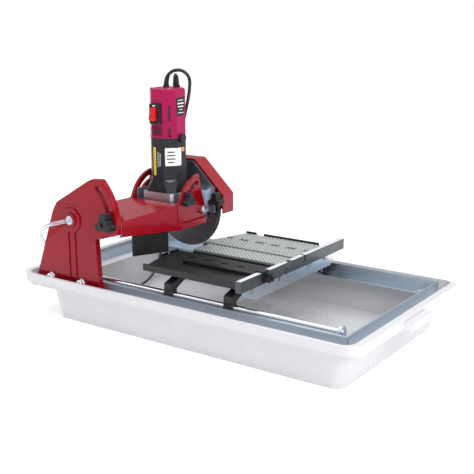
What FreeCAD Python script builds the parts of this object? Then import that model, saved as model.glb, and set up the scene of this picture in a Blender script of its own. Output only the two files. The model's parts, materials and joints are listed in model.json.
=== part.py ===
import FreeCAD, Part
import math
import os
import Sketcher

# Wet tile saw: a tray with a steel frame, a rolling table, a red post that carries a
# plunging arm, and a tilting motor head with a 7 inch blade.
# Frame: origin on the resting face under the middle of the tray rim, +X along the tray
# away from the post, +Y away from the post side, +Z up. Millimetres and degrees.

SIZES = {
    # tray
    "base_left": -323, "base_right": 357, "base_half": 197.5, "base_corner": 24,
    "wall_draft": 11, "tray_wall": 4, "ledge_top": 74, "ledge_thick": 4,
    "ledge_half_len": 385, "ledge_half_wide": 222, "rim_half_len": 401,
    "rim_half_wide": 228, "rim_top": 95, "skirt_bottom": 76, "rim_corner": 30,
    "grip_width": 95, "grip_reach": 15, "grip_bottom": 72, "grip_top": 88,
    # frame and rail
    "frame_left": -370, "frame_right": 365, "frame_half": 198, "frame_tall": 25.5,
    "gauge": 2.5, "side_flange": 30, "end_flange": 15, "top_lip": 6,
    "rail_radius": 6.35, "rail_y": -180, "rail_z": 98.5, "rail_left": -340,
    "rail_right": 351, "rail_bracket": 6,
    # post and hub
    "post_thick": 12, "hub_x": -258, "hub_z": 221, "post_arc": 124, "slot_arc": 104,
    "slot_wide": 11, "stud_angle": 4, "raise_angle": 40, "pivot_radius": 9,
    "pivot_bore": 6, "run_gap": 0.05, "bolt_head": 7,
    # table
    "table_left": -112, "table_right": 132, "table_near": -182, "table_far": 158,
    "table_top": 145, "mat_thick": 4, "plate_thick": 5, "rim_strip": 3,
    "blade_slot": 4.4, "mitre_slot_low": -48, "mitre_slot_high": -25, "tilt_notch": 20,
    "bar_left": -28, "bar_right": 113, "bar_width": 18, "bar_top": 132.5,
    "bar_tall": 12, "block_radius": 10.5, "block_len": 18, "roller_radius": 11,
    "roller_width": 10, "axle_radius": 4, "fence_thick": 12, "fence_tall": 22,
    "fence_near": -192, "fence_far": 200, "fence_top": 155, "apron_bottom": 104,
    "guide_near": -125, "guide_wide": 26, "guide_left": -40, "guide_tall": 6.7,
    # arm
    "arm_near": -192, "arm_far": -75, "arm_bottom": 197, "arm_near_top": 228,
    "arm_far_top": 250, "arm_near_left": -296, "arm_near_right": -142,
    "cradle_rear": -218, "cradle_front": -86, "cradle_plate": 6, "arm_wall": 5,
    "tilt_y": 0, "tilt_z": 226, "sector_arc": 78, "tilt_slot_arc": 62,
    "tilt_slot_wide": 9, "tilt_stud_angle": 151, "tilt_range": 45, "bush_wall": 2.5,
    "arm_rib": 6, "curtain_bottom": 152.5, "curtain_thick": 3,
    # head
    "motor_x": -152, "motor_y": -27, "motor_flat": 35, "motor_bore": 30,
    "head_bottom": 204, "plate_bottom": 242, "plate_top": 266, "flare_top": 290,
    "seam_z": 377, "cover_top": 478, "spindle_z": 222.5, "blade_y": 35.5,
    "blade_radius": 89, "blade_thick": 2.2, "arbor_radius": 7.94,
    "flange_radius": 20, "guard_near": 26, "guard_plate": 2.5, "guard_far": 68,
    "guard_top": 326, "guard_low": 216, "guard_front": -52, "guard_rear": -247,
    "guard_wall": 2.5,
    # cords and hose
    "cord_radius": 3.5, "pump_cord_radius": 2.75, "hose_radius": 4,
    "coil_radius": 40,
}

doc = FreeCAD.newDocument("wet_tile_saw")
sheet = doc.addObject("Spreadsheet::Sheet", "sizes")
for row, (alias, amount) in enumerate(SIZES.items(), start=1):
    sheet.set("A%d" % row, alias)
    sheet.set("B%d" % row, str(amount))
    sheet.setAlias("B%d" % row, alias)
doc.recompute()


class Size:
    """A number kept together with the spreadsheet formula that gives it."""

    def __init__(self, value, text):
        self.value = float(value)
        self.text = text

    def __float__(self):
        return self.value

    def joined(self, other, sign, value):
        return Size(value, "(%s %s %s)" % (self.text, sign, sized(other).text))

    def __add__(self, other):
        return self.joined(other, "+", self.value + float(other))

    def __sub__(self, other):
        return self.joined(other, "-", self.value - float(other))

    def __mul__(self, other):
        return self.joined(other, "*", self.value * float(other))

    def __truediv__(self, other):
        return self.joined(other, "/", self.value / float(other))

    def __radd__(self, other):
        return sized(other) + self

    def __rsub__(self, other):
        return sized(other) - self

    def __rmul__(self, other):
        return sized(other) * self

    def __neg__(self):
        return Size(-self.value, "(0 - %s)" % self.text)


class Sheet:
    """Reads each alias of the spreadsheet as a Size."""

    def __getattr__(self, alias):
        return Size(sheet.get(alias), "sizes." + alias)


def sized(number):
    return number if isinstance(number, Size) else Size(number, "%.6f" % number)


def cosine(angle):
    angle = sized(angle)
    return Size(math.cos(math.radians(angle.value)), "cos(%s)" % angle.text)


def sine(angle):
    angle = sized(angle)
    return Size(math.sin(math.radians(angle.value)), "sin(%s)" % angle.text)


def polar(centre, radius, angle):
    """The point at a radius and angle round a centre."""
    return (centre[0] + radius * cosine(angle), centre[1] + radius * sine(angle))


def bind(thing, place, size):
    thing.setExpression(place, sized(size).text)


S = Sheet()
nodes = {}


# ---- PartDesign helpers ------------------------------------------------------

PLANES = {"XY": "XY_Plane", "XZ": "XZ_Plane", "YZ": "YZ_Plane"}


def new_body(label):
    body = doc.addObject("PartDesign::Body", label)
    body.Label = label
    return body


def new_sketch(body, plane, level):
    """A sketch parallel to an origin plane, at a level along the world axis."""
    sketch = body.newObject("Sketcher::SketchObject", body.Name + "_sketch")
    flat = [f for f in body.Origin.OriginFeatures if f.Role == PLANES[plane]][0]
    sketch.AttachmentSupport = [(flat, "")]
    sketch.MapMode = "FlatFace"
    bind(sketch, "AttachmentOffset.Base.z", -sized(level) if plane == "XZ" else level)
    return sketch


def fix(sketch, kind, geometry, point, amount, name):
    """Holds one coordinate of a point at a distance from the sketch origin."""
    amount = sized(amount)
    if abs(amount.value) < 1e-6:
        axis = -2 if kind == "DistanceX" else -1
        sketch.addConstraint(Sketcher.Constraint("PointOnObject", geometry, point, axis))
        return
    sketch.addConstraint(
        Sketcher.Constraint(kind, -1, 1, geometry, point, amount.value))
    sketch.renameConstraint(sketch.ConstraintCount - 1, name)
    bind(sketch, "Constraints." + name, amount)


def draw(sketch, corners, arcs=None):
    """A closed outline. arcs gives, by edge number, (radius, centre, turn), where turn
    is 1 for an arc that runs anticlockwise from its corner and -1 for clockwise. An arc
    is held by its two ends and one coordinate of its centre."""
    arcs = arcs or {}
    count = len(corners)
    flat = [FreeCAD.Vector(float(x), float(y), 0) for x, y in corners]
    ends = []
    first = sketch.GeometryCount
    for i in range(count):
        start, stop = flat[i], flat[(i + 1) % count]
        if i in arcs:
            radius, centre, turn = arcs[i]
            middle = FreeCAD.Vector(float(centre[0]), float(centre[1]), 0)
            angles = [math.atan2(p.y - middle.y, p.x - middle.x) for p in (start, stop)]
            if turn < 0:
                angles.reverse()
            if angles[1] < angles[0]:
                angles[1] += 2 * math.pi
            circle = Part.Circle(middle, FreeCAD.Vector(0, 0, 1), float(radius))
            edge = sketch.addGeometry(Part.ArcOfCircle(circle, *angles), False)
            ends.append((1, 2) if turn > 0 else (2, 1))
        else:
            edge = sketch.addGeometry(Part.LineSegment(start, stop), False)
            ends.append((1, 2))
    for i in range(count):
        after = (i + 1) % count
        sketch.addConstraint(Sketcher.Constraint(
            "Coincident", first + i, ends[i][1], first + after, ends[after][0]))
    for i, (x, y) in enumerate(corners):
        tag = "c%d_%d" % (first, i)
        fix(sketch, "DistanceX", first + i, ends[i][0], x, tag + "x")
        fix(sketch, "DistanceY", first + i, ends[i][0], y, tag + "y")
        if i in arcs:
            centre = arcs[i][1]
            chord = flat[(i + 1) % count] - flat[i]
            if abs(chord.x) < abs(chord.y):
                fix(sketch, "DistanceX", first + i, 3, centre[0], tag + "cx")
            else:
                fix(sketch, "DistanceY", first + i, 3, centre[1], tag + "cy")
    return sketch


def ring(sketch, centre, radius):
    """A full circle in a sketch."""
    x, y = centre
    middle = FreeCAD.Vector(float(x), float(y), 0)
    circle = Part.Circle(middle, FreeCAD.Vector(0, 0, 1), float(radius))
    edge = sketch.addGeometry(circle, False)
    tag = "o%d" % edge
    fix(sketch, "DistanceX", edge, 3, x, tag + "x")
    fix(sketch, "DistanceY", edge, 3, y, tag + "y")
    sketch.addConstraint(Sketcher.Constraint("Radius", edge, float(radius)))
    sketch.renameConstraint(sketch.ConstraintCount - 1, tag + "r")
    bind(sketch, "Constraints." + tag + "r", radius)
    return sketch


def rectangle(low_x, high_x, low_y, high_y):
    return [(low_x, low_y), (high_x, low_y), (high_x, high_y), (low_x, high_y)]


def rounded(low_x, high_x, low_y, high_y, radius):
    """Corners and arcs of a rectangle with round corners."""
    near_x, far_x = low_x + radius, high_x - radius
    near_y, far_y = low_y + radius, high_y - radius
    corners = [(near_x, low_y), (far_x, low_y), (high_x, near_y), (high_x, far_y),
               (far_x, high_y), (near_x, high_y), (low_x, far_y), (low_x, near_y)]
    arcs = {1: (radius, (far_x, near_y), 1), 3: (radius, (far_x, far_y), 1),
            5: (radius, (near_x, far_y), 1), 7: (radius, (near_x, near_y), 1)}
    return corners, arcs


def slot_outline(centre, radius, width, start, stop):
    """Corners and arcs of a curved slot about a centre, from one angle to another."""
    half = width / 2
    outer, inner = radius + half, radius - half
    corners = [polar(centre, outer, start), polar(centre, outer, stop),
               polar(centre, inner, stop), polar(centre, inner, start)]
    arcs = {0: (outer, centre, 1), 1: (half, polar(centre, radius, stop), 1),
            2: (inner, centre, -1), 3: (half, polar(centre, radius, start), 1)}
    return corners, arcs


def pad(body, plane, low, high, outlines=(), circles=()):
    """Adds material between two levels and checks that some was added. outlines holds
    (corners, arcs) pairs."""
    before = 0 if body.Tip is None else body.Shape.Volume
    sketch = new_sketch(body, plane, high if plane == "XZ" else low)
    for corners, arcs in outlines:
        draw(sketch, corners, arcs)
    for centre, radius in circles:
        ring(sketch, centre, radius)
    feature = body.newObject("PartDesign::Pad", body.Name + "_pad")
    feature.Profile = sketch
    bind(feature, "Length", high - sized(low))
    doc.recompute()
    if body.Shape.isNull() or body.Shape.Volume <= before + 1e-6:
        raise RuntimeError("a pad of %s adds nothing" % body.Label)
    return feature


def pocket(body, plane, low, high, outlines=(), circles=()):
    """Removes material between two levels and checks that some was removed."""
    before = body.Shape.Volume
    sketch = new_sketch(body, plane, low if plane == "XZ" else high)
    for corners, arcs in outlines:
        draw(sketch, corners, arcs)
    for centre, radius in circles:
        ring(sketch, centre, radius)
    feature = body.newObject("PartDesign::Pocket", body.Name + "_pocket")
    feature.Profile = sketch
    bind(feature, "Length", high - sized(low))
    doc.recompute()
    if body.Shape.Volume >= before - 1e-6:
        raise RuntimeError("a pocket of %s removes nothing" % body.Label)
    return feature


def loft(body, kind, plane, sections):
    """A loft through (level, corners, arcs) sections; kind is Additive or Subtractive."""
    sketches = [draw(new_sketch(body, plane, level), corners, arcs)
                for level, corners, arcs in sections]
    feature = body.newObject("PartDesign::%sLoft" % kind, body.Name + "_loft")
    feature.Profile = sketches[0]
    feature.Sections = sketches[1:]
    feature.Ruled = True
    doc.recompute()
    return feature


def fillet(body, radius, choose, kind="Fillet"):
    """Rounds or chamfers the edges of the body's tip that a test picks."""
    tip = body.Tip
    names = ["Edge%d" % (i + 1) for i, edge in enumerate(tip.Shape.Edges) if choose(edge)]
    feature = body.newObject("PartDesign::" + kind, body.Name + "_" + kind.lower())
    feature.Base = (tip, names)
    bind(feature, "Radius" if kind == "Fillet" else "Size", radius)
    doc.recompute()
    return feature


def keep(label, thing):
    """Files a finished sub-part under its node name."""
    thing.Label = label
    nodes[label] = thing
    return thing


def pad_part(label, plane, low, high, outlines=(), circles=()):
    body = new_body(label)
    pad(body, plane, low, high, outlines, circles)
    return keep(label, body)


# ---- Part helpers ------------------------------------------------------------

TURNS = {"Z": (0, FreeCAD.Vector(0, 0, 1)), "X": (90, FreeCAD.Vector(0, 1, 0)),
         "Y": (-90, FreeCAD.Vector(1, 0, 0))}


def place(thing, x, y, z, turn=None):
    angle, axis = turn or TURNS["Z"]
    spin = FreeCAD.Rotation(axis, angle)
    spot = FreeCAD.Vector(float(x), float(y), float(z))
    thing.Placement = FreeCAD.Placement(spot, spin)
    for letter, amount in zip("xyz", (x, y, z)):
        bind(thing, "Placement.Base." + letter, amount)
    return thing


def box(name, low_x, high_x, low_y, high_y, low_z, high_z):
    thing = doc.addObject("Part::Box", name)
    bind(thing, "Length", high_x - sized(low_x))
    bind(thing, "Width", high_y - sized(low_y))
    bind(thing, "Height", high_z - sized(low_z))
    return place(thing, low_x, low_y, low_z)


def rod(name, axis, across, low, high, radius):
    """A cylinder along an axis. across holds the two other coordinates in order."""
    thing = doc.addObject("Part::Cylinder", name)
    bind(thing, "Radius", radius)
    bind(thing, "Height", high - sized(low))
    spots = {"X": (low, across[0], across[1]), "Y": (across[0], low, across[1]),
             "Z": (across[0], across[1], low)}
    return place(thing, *spots[axis], turn=TURNS[axis])


def wedge(name, near, far, near_sides, far_sides):
    """A block between two rectangles at two Y levels, given as X limits and Z limits."""
    thing = doc.addObject("Part::Wedge", name)
    near_names = ("Ymin", "Xmin", "Xmax", "Zmin", "Zmax")
    far_names = ("Ymax", "X2min", "X2max", "Z2min", "Z2max")
    for names, sizes in ((near_names, (near,) + near_sides), (far_names, (far,) + far_sides)):
        for key, amount in zip(names, sizes):
            bind(thing, key, amount)
    return place(thing, 0, 0, 0)


def tube(name, axis, across, low, high, outer, inner):
    return cut(name, rod(name + "_out", axis, across, low, high, outer),
               rod(name + "_in", axis, across, low, high, inner))


def cut(name, base, tool):
    thing = doc.addObject("Part::Cut", name)
    thing.Base = base
    thing.Tool = tool
    doc.recompute()
    return thing


def join(name, parts):
    thing = doc.addObject("Part::MultiFuse", name)
    thing.Shapes = parts
    doc.recompute()
    return thing


def group(name, parts):
    """Several separate solids kept as one sub-part."""
    thing = doc.addObject("Part::Compound", name)
    thing.Links = parts
    doc.recompute()
    return thing


def prism(name, sides, axis, across, low, high, radius):
    """A regular prism, such as a hexagon nut, along an axis."""
    thing = doc.addObject("Part::Prism", name)
    thing.Polygon = sides
    bind(thing, "Circumradius", radius)
    bind(thing, "Height", high - sized(low))
    spots = {"X": (low, across[0], across[1]), "Y": (across[0], low, across[1]),
             "Z": (across[0], across[1], low)}
    return place(thing, *spots[axis], turn=TURNS[axis])


def three_lobe_knob(name, axis, across, low, high, reach, bore):
    """A knob with three round lobes about a hub, bored for its stud."""
    parts = [rod(name + "_hub", axis, across, low, high, reach * 0.55)]
    for lobe in range(3):
        spot = polar(across, reach * 0.62, 90 + 120 * lobe)
        parts.append(rod(name + "_lobe%d" % lobe, axis, spot, low, high, reach * 0.38))
    whole = join(name + "_solid", parts)
    hole = rod(name + "_bore", axis, across, low - sized(1), high + sized(1), bore)
    return cut(name, whole, hole)


def smooth_path(points):
    """Straight runs joined by tangent arcs, each as large as its two runs allow."""
    spots = [FreeCAD.Vector(*p) for p in points]
    edges = []
    radii = []
    last = spots[0]
    for before, here, after in zip(spots, spots[1:], spots[2:]):
        back = (before - here).normalize()
        ahead = (after - here).normalize()
        half = (math.pi - back.getAngle(ahead)) / 2
        short = min((before - here).Length, (after - here).Length)
        setback = 0.45 * short
        radii.append(setback / math.tan(half))
        start = here + back * setback
        stop = here + ahead * setback
        inward = (back + ahead).normalize()
        sag = radii[-1] / math.cos(half) - radii[-1]
        edges.append(Part.LineSegment(last, start).toShape())
        edges.append(Part.Arc(start, here + inward * sag, stop).toShape())
        last = stop
    edges.append(Part.LineSegment(last, spots[-1]).toShape())
    return Part.Wire(edges), radii


def sweep(label, points, radius, bore=None):
    """A cord or hose: a circle swept along a smooth path."""
    path, radii = smooth_path(points)
    start = FreeCAD.Vector(*points[0])
    along = (FreeCAD.Vector(*points[1]) - start).normalize()

    def solid(size):
        circle = Part.Wire(Part.Circle(start, along, size).toShape())
        return path.makePipeShell([circle], True, False)

    shape = solid(float(radius))
    area = math.pi * float(radius) ** 2
    if bore is not None:
        shape = shape.cut(solid(float(bore)))
        area -= math.pi * float(bore) ** 2
    expected = area * path.Length
    print("%s: length %.0f, smallest radius %.1f, volume ratio %.4f" % (
        label, path.Length, min(radii), shape.Volume / expected))
    thing = doc.addObject("Part::Feature", label)
    thing.Shape = shape
    thing.Placement = FreeCAD.Placement()
    return thing


# ---- tray --------------------------------------------------------------------


def grow(amount, radius_gain):
    """The tray's base outline moved out by an amount, with its corner radius."""
    return rounded(S.base_left - amount, S.base_right + amount, -S.base_half - amount,
                   S.base_half + amount, S.base_corner + radius_gain)


def make_tray():
    tray = new_body("tray")
    ledge_under = S.ledge_top - S.ledge_thick
    loft(tray, "Additive", "XY", [(sized(0),) + grow(sized(0), 0),
                                  (ledge_under,) + grow(S.wall_draft, 0)])
    riser = sized(4)
    shelf = rounded(-S.ledge_half_len - riser, S.ledge_half_len + riser,
                    -S.ledge_half_wide - riser, S.ledge_half_wide + riser, S.base_corner)
    pad(tray, "XY", ledge_under, S.rim_top, [shelf])
    rim = rounded(-S.rim_half_len, S.rim_half_len, -S.rim_half_wide, S.rim_half_wide,
                  S.rim_corner)
    pad(tray, "XY", S.skirt_bottom, S.rim_top, [rim])
    for side in (-1, 1):
        root = side * (S.rim_half_len - riser)
        end = side * (S.rim_half_len + S.grip_reach)
        taper = sized(8)
        half = S.grip_width / 2
        outline = [(root, -half), (end, taper - half), (end, half - taper), (root, half)]
        if side < 0:
            outline.reverse()
        pad(tray, "XY", S.grip_bottom, S.grip_top, [(outline, None)])
        wall = S.tray_wall
        inner = [(side * S.rim_half_len, wall * 2 - half), (end - side * wall,
                 taper + wall - half), (end - side * wall, half - taper - wall),
                 (side * S.rim_half_len, half - wall * 2)]
        if side < 0:
            inner.reverse()
        pocket(tray, "XY", S.grip_bottom, S.grip_top - wall, [(inner, None)])
        low_x = side * (S.ledge_half_len + riser)
        high_x = side * (S.rim_half_len - wall)
        ends = (low_x, high_x) if side > 0 else (high_x, low_x)
        under = rectangle(ends[0], ends[1], -S.ledge_half_wide + S.rim_corner,
                          S.ledge_half_wide - S.rim_corner)
        pocket(tray, "XY", S.skirt_bottom, S.rim_top - wall, [(under, None)])
    recess = rounded(-S.ledge_half_len, S.ledge_half_len, -S.ledge_half_wide,
                     S.ledge_half_wide, S.base_corner - riser)
    pocket(tray, "XY", S.ledge_top, S.rim_top, [recess])
    slope = S.wall_draft / ledge_under
    low_gap = S.tray_wall * slope - S.tray_wall
    high_gap = S.ledge_top * slope - S.tray_wall
    loft(tray, "Subtractive", "XY", [(S.tray_wall,) + grow(low_gap, 0 - S.tray_wall),
                                     (S.ledge_top,) + grow(high_gap, 0 - S.tray_wall)])
    top = float(S.rim_top)
    fillet(tray, sized(2), lambda edge: (
        all(abs(v.Z - top) < 0.01 for v in edge.Vertexes)
        and max(abs(edge.BoundBox.YMax), abs(edge.BoundBox.YMin),
                abs(edge.BoundBox.XMax) - float(S.rim_half_len - S.rim_half_wide),
                abs(edge.BoundBox.XMin) - float(S.rim_half_len - S.rim_half_wide))
        > float(S.rim_half_wide) - 0.01))
    return keep("tray", tray)


make_tray()

# ---- frame of folded steel channels on the ledge -----------------------------

frame_top = S.ledge_top + S.frame_tall
flange_top = S.ledge_top + S.gauge


def channel(label, side):
    """The near or far member: an upright leg, a wide bottom flange and a top lip."""
    face = side * S.frame_half
    inner = side * (S.frame_half - S.gauge)
    shelf = side * (S.frame_half - S.side_flange)
    lip = side * (S.frame_half - S.top_lip)
    outline = [(shelf, S.ledge_top), (face, S.ledge_top), (face, frame_top),
               (lip, frame_top), (lip, frame_top - S.gauge), (inner, frame_top - S.gauge),
               (inner, flange_top), (shelf, flange_top)]
    if side < 0:
        outline.reverse()
    return pad_part(label, "YZ", S.frame_left, S.frame_right, [(outline, None)])


channel("frame_near", -1)
channel("frame_far", 1)


def end_members():
    """The left and right members, cut to fit between the near and far ones."""
    parts = []
    for name, face, side in (("left", S.frame_left, 1), ("right", S.frame_right, -1)):
        reach = S.frame_half - S.top_lip
        legs = [face, face + side * S.gauge]
        shelf = [face, face + side * S.end_flange]
        if side < 0:
            legs.reverse()
            shelf.reverse()
        leg = box("leg_" + name, legs[0], legs[1], -reach, reach, flange_top, frame_top)
        low = S.frame_half - S.side_flange
        foot = box("foot_" + name, shelf[0], shelf[1], -low, low, S.ledge_top, flange_top)
        parts.append(join("member_" + name, [leg, foot]))
    return keep("frame_ends", group("frame_ends", parts))


end_members()


def frame_bolts():
    """Hexagon heads that clamp the frame's corners to the ledge and the post's foot to
    the near member."""
    corner = S.frame_half - S.side_flange + 10
    heads = []
    for i, x in enumerate((S.frame_left + 30, S.frame_right - 30)):
        for j, y in enumerate((20 - corner, corner)):
            heads.append(prism("frame_bolt_%d%d" % (i, j), 6, "Z", (x, y), flange_top,
                               flange_top + 5, S.bolt_head))
    front = -S.frame_half - S.post_thick
    for i, offset in enumerate((-64, 22)):
        spot = (S.hub_x + offset, S.ledge_top + 18)
        head = prism("post_bolt_%d" % i, 6, "Y", spot, front - 8, front, S.bolt_head)
        washer = rod("post_washer_%d" % i, "Y", spot, front - 1.5, front, S.bolt_head + 2)
        heads.append(join("post_fastener_%d" % i, [head, washer]))
    return keep("frame_bolts", group("frame_bolts", heads))


frame_bolts()

# ---- near rail and its brackets ----------------------------------------------

rail_spot = (S.rail_y, S.rail_z)
keep("rail", rod("rail", "X", rail_spot, S.rail_left, S.rail_right, S.rail_radius))


def rail_brackets():
    """Round-topped plates that stand on the near flange and hold the rail's ends."""
    parts = []
    reach = S.rail_radius + 5.5
    inset = sized(2)
    for name, low in (("left", S.rail_left + inset),
                      ("right", S.rail_right - inset - S.rail_bracket)):
        high = low + S.rail_bracket
        plate = box("bracket_plate_" + name, low, high, S.rail_y - reach,
                    S.rail_y + reach, flange_top, S.rail_z)
        crown = rod("bracket_crown_" + name, "X", rail_spot, low, high, reach)
        bore = rod("bracket_bore_" + name, "X", rail_spot, low - 1, high + 1,
                   S.rail_radius)
        parts.append(cut("bracket_" + name, join("blank_" + name, [plate, crown]), bore))
    return keep("rail_brackets", group("rail_brackets", parts))


rail_brackets()

# ---- post --------------------------------------------------------------------

hub = (S.hub_x, S.hub_z)
post_back = -S.frame_half
post_front = post_back - S.post_thick


def make_post():
    """The red side casting: leg, hub boss and the arc sector for the depth stud."""
    post = new_body("post")
    foot = S.ledge_top + 2.5
    arc_low = polar(hub, S.post_arc, -7)
    arc_high = polar(hub, S.post_arc, 47)
    apex = polar(hub, S.post_arc - 16, 56)
    corners = [(S.hub_x - 112, foot), (S.hub_x + 71, foot), (S.hub_x + 65, S.hub_z - 33),
               (S.hub_x + 84, S.hub_z - 28), arc_low, arc_high, apex,
               (S.hub_x + 49, S.hub_z + 85), (S.hub_x - 42, S.hub_z + 32),
               (S.hub_x - 50, S.hub_z + 20)]
    pad(post, "XZ", post_front, post_back, [(corners, {4: (S.post_arc, hub, 1)})])
    front = float(post_front)
    fillet(post, sized(3), lambda edge: (
        all(abs(v.Y - front) < 0.01 for v in edge.Vertexes)
        and edge.BoundBox.ZMin > float(foot) + 0.5))
    ring_front = post_front - 6
    pad(post, "XZ", ring_front, post_front, circles=[(hub, S.pivot_radius + 7)])
    boss = [polar(hub, sized(27), 22.5 + 45 * step) for step in range(8)]
    pad(post, "XZ", post_front - 3, post_front, [(boss, None)])
    for offset in (-10, 8):
        rib = rectangle(S.hub_x + offset - 1.5, S.hub_x + offset + 1.5, foot,
                        S.hub_z - 24)
        pad(post, "XZ", post_front - 2.5, post_front, [(rib, None)])
    toe = rectangle(S.hub_x - 111, S.hub_x + 70, foot, foot + 6)
    pad(post, "XZ", post_front - 2, post_front, [(toe, None)])
    pocket(post, "XZ", ring_front, post_back, circles=[(hub, S.pivot_radius)])
    start = S.stud_angle - 0.2
    stop = S.stud_angle + S.raise_angle + 0.5
    slot = slot_outline(hub, S.slot_arc, S.slot_wide, start, stop)
    pocket(post, "XZ", post_front, post_back, [slot])
    return keep("post", post)


make_post()


pivot_low = post_front - 6
boss_far = S.arm_near + 28
pivot_high = boss_far + 0.5
keep("pivot_tube", tube("pivot_tube", "Y", hub, pivot_low, pivot_high, S.pivot_radius,
                        S.pivot_bore))

# ---- rolling table -----------------------------------------------------------

plate_top = S.table_top - S.mat_thick
plate_low = plate_top - S.plate_thick
mitre_low, mitre_high = S.mitre_slot_low, S.mitre_slot_high
blade_low = S.blade_y - S.blade_slot / 2
blade_high = S.blade_y + S.blade_slot / 2


def table_outline(inset):
    """The table's plan with its long chamfers at the post end."""
    left, right = S.table_left + inset, S.table_right - inset
    near, far = S.table_near + inset, S.table_far - inset
    return [(left + 17, near), (right, near), (right, far), (left + 30, far),
            (left, S.table_far - 98), (left, S.table_near + 74)]


def make_table():
    table = new_body("table")
    pad(table, "XY", plate_low, plate_top, [(table_outline(sized(0)), None)])
    rim_top = S.table_top + 4
    strip = S.rim_strip
    left, right = S.table_left, S.table_right
    near, far = S.table_near, S.table_far
    strips = [rectangle(left + 33, left + 60, far - strip, far),
              rectangle(left + 80, right - 24, far - strip, far),
              rectangle(left + 17, right, near, near + strip),
              rectangle(left, left + strip, near + 76, near + 96),
              rectangle(left, left + strip, near + 104, mitre_low - 3)]
    for outline in strips:
        pad(table, "XY", plate_top, rim_top, [(outline, None)])
    end = right - 7
    slots = [rectangle(left - 1, end, blade_low, blade_high),
             rectangle(left - 1, end, mitre_low, mitre_high)]
    pocket(table, "XY", plate_low, plate_top, [(outline, None) for outline in slots])
    notch = rectangle(left - 1, left + S.tilt_notch, mitre_high - 1, blade_low + 1)
    pocket(table, "XY", plate_low, plate_top, [(notch, None)])
    return keep("table", table)


make_table()


def hole_row(first_x, y, count):
    """Small rectangular holes along the table, spaced evenly."""
    return [(rectangle(first_x + 40 * i - 10, first_x + 40 * i + 10, y - 3, y + 3), None)
            for i in range(count)]


def make_mat(label, corners, holes):
    mat = new_body(label)
    pad(mat, "XY", plate_top, S.table_top, [(corners, None)])
    if holes:
        pocket(mat, "XY", plate_top, S.table_top, holes)
    return keep(label, mat)


def make_mats():
    """Three ribbed rubber mats, split by the blade slot and the mitre slot."""
    gap = S.rim_strip + 1
    left, right = S.table_left + gap, S.table_right - 1
    near, far = S.table_near + gap, S.table_far - gap
    far_mat = [(left, blade_high + 1), (right, blade_high + 1), (right, far),
               (left + 30, far), (left, S.table_far - 98)]
    make_mat("mat_far", far_mat, hole_row(left + 22, S.table_far - 60, 6))
    middle_left = S.table_left + S.tilt_notch + 1
    make_mat("mat_middle", rectangle(middle_left, right, mitre_high + 1, blade_low - 1),
             None)
    near_mat = [(left + 17, near), (right, near), (right, mitre_low - 1),
                (left, mitre_low - 1), (left, S.table_near + 74)]
    make_mat("mat_near", near_mat, hole_row(left + 55, mitre_low - 30, 4))


make_mats()

block_top = S.rail_z + S.block_radius
axle_z = flange_top + S.roller_radius + S.run_gap
bar_low = S.bar_top - S.bar_tall
leg_far = S.frame_half - S.side_flange + 3
leg_near = leg_far - 7


def crossbars():
    """Two bars under the table, from the rail blocks to the far rollers."""
    parts = []
    for name, x in (("left", S.bar_left), ("right", S.bar_right)):
        half = S.bar_width / 2
        bar = new_body("crossbar_" + name)
        neck = S.rail_y - 8
        outline = [(neck, block_top), (neck + 16, block_top), (neck + 38, bar_low),
                   (leg_near, bar_low), (leg_near, axle_z - 7), (leg_far, axle_z - 7),
                   (leg_far, S.bar_top), (neck + 34, S.bar_top), (neck, block_top + 12)]
        pad(bar, "YZ", x - half, x + half, [(outline, None)])
        for i, y in enumerate((S.table_near + 50, S.blade_y - 28, S.table_far - 30)):
            step = rectangle(y - 8, y + 8, S.bar_top, plate_low)
            pad(bar, "YZ", x - half, x + half, [(step, None)])
        pocket(bar, "XZ", leg_near - 1, leg_far + 1,
               circles=[((x, axle_z), S.axle_radius)])
        parts.append(bar)
    return keep("crossbars", group("crossbars", parts))


crossbars()


def rail_blocks():
    """Split plastic bearings that slide on the near rail."""
    parts = []
    for name, x in (("left", S.bar_left), ("right", S.bar_right)):
        low, high = x - S.block_len / 2, x + S.block_len / 2
        body = rod("block_round_" + name, "X", rail_spot, low, high, S.block_radius)
        head = box("block_head_" + name, low, high, S.rail_y - 8, S.rail_y + 8, S.rail_z,
                   block_top)
        bore = rod("block_bore_" + name, "X", rail_spot, low - 1, high + 1,
                   S.rail_radius + S.run_gap)
        parts.append(cut("rail_block_" + name, join("block_" + name, [body, head]), bore))
    return keep("rail_blocks", group("rail_blocks", parts))


rail_blocks()


def far_rollers():
    """Rollers on fixed axles that run on the far member's bottom flange."""
    axles = []
    low = leg_far + 3
    for name, x in (("left", S.bar_left), ("right", S.bar_right)):
        spot = (x, axle_z)
        axles.append(rod("axle_" + name, "Y", spot, leg_near - 2, low + S.roller_width + 3,
                         S.axle_radius))
        keep("roller_" + name, tube("roller_" + name, "Y", spot, low,
                                    low + S.roller_width, S.roller_radius,
                                    S.axle_radius + S.run_gap))
    return keep("roller_axles", group("roller_axles", axles))


far_rollers()

# ---- fence, apron and rip guide ----------------------------------------------

fence_low_x = S.table_right + 1
fence_high_x = fence_low_x + S.fence_thick
fence_bottom = S.fence_top - S.fence_tall
# The tilted blade's plane meets a level z at y = z + lean.
lean = S.tilt_y - S.tilt_z + S.blade_y / cosine(S.tilt_range)


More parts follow.
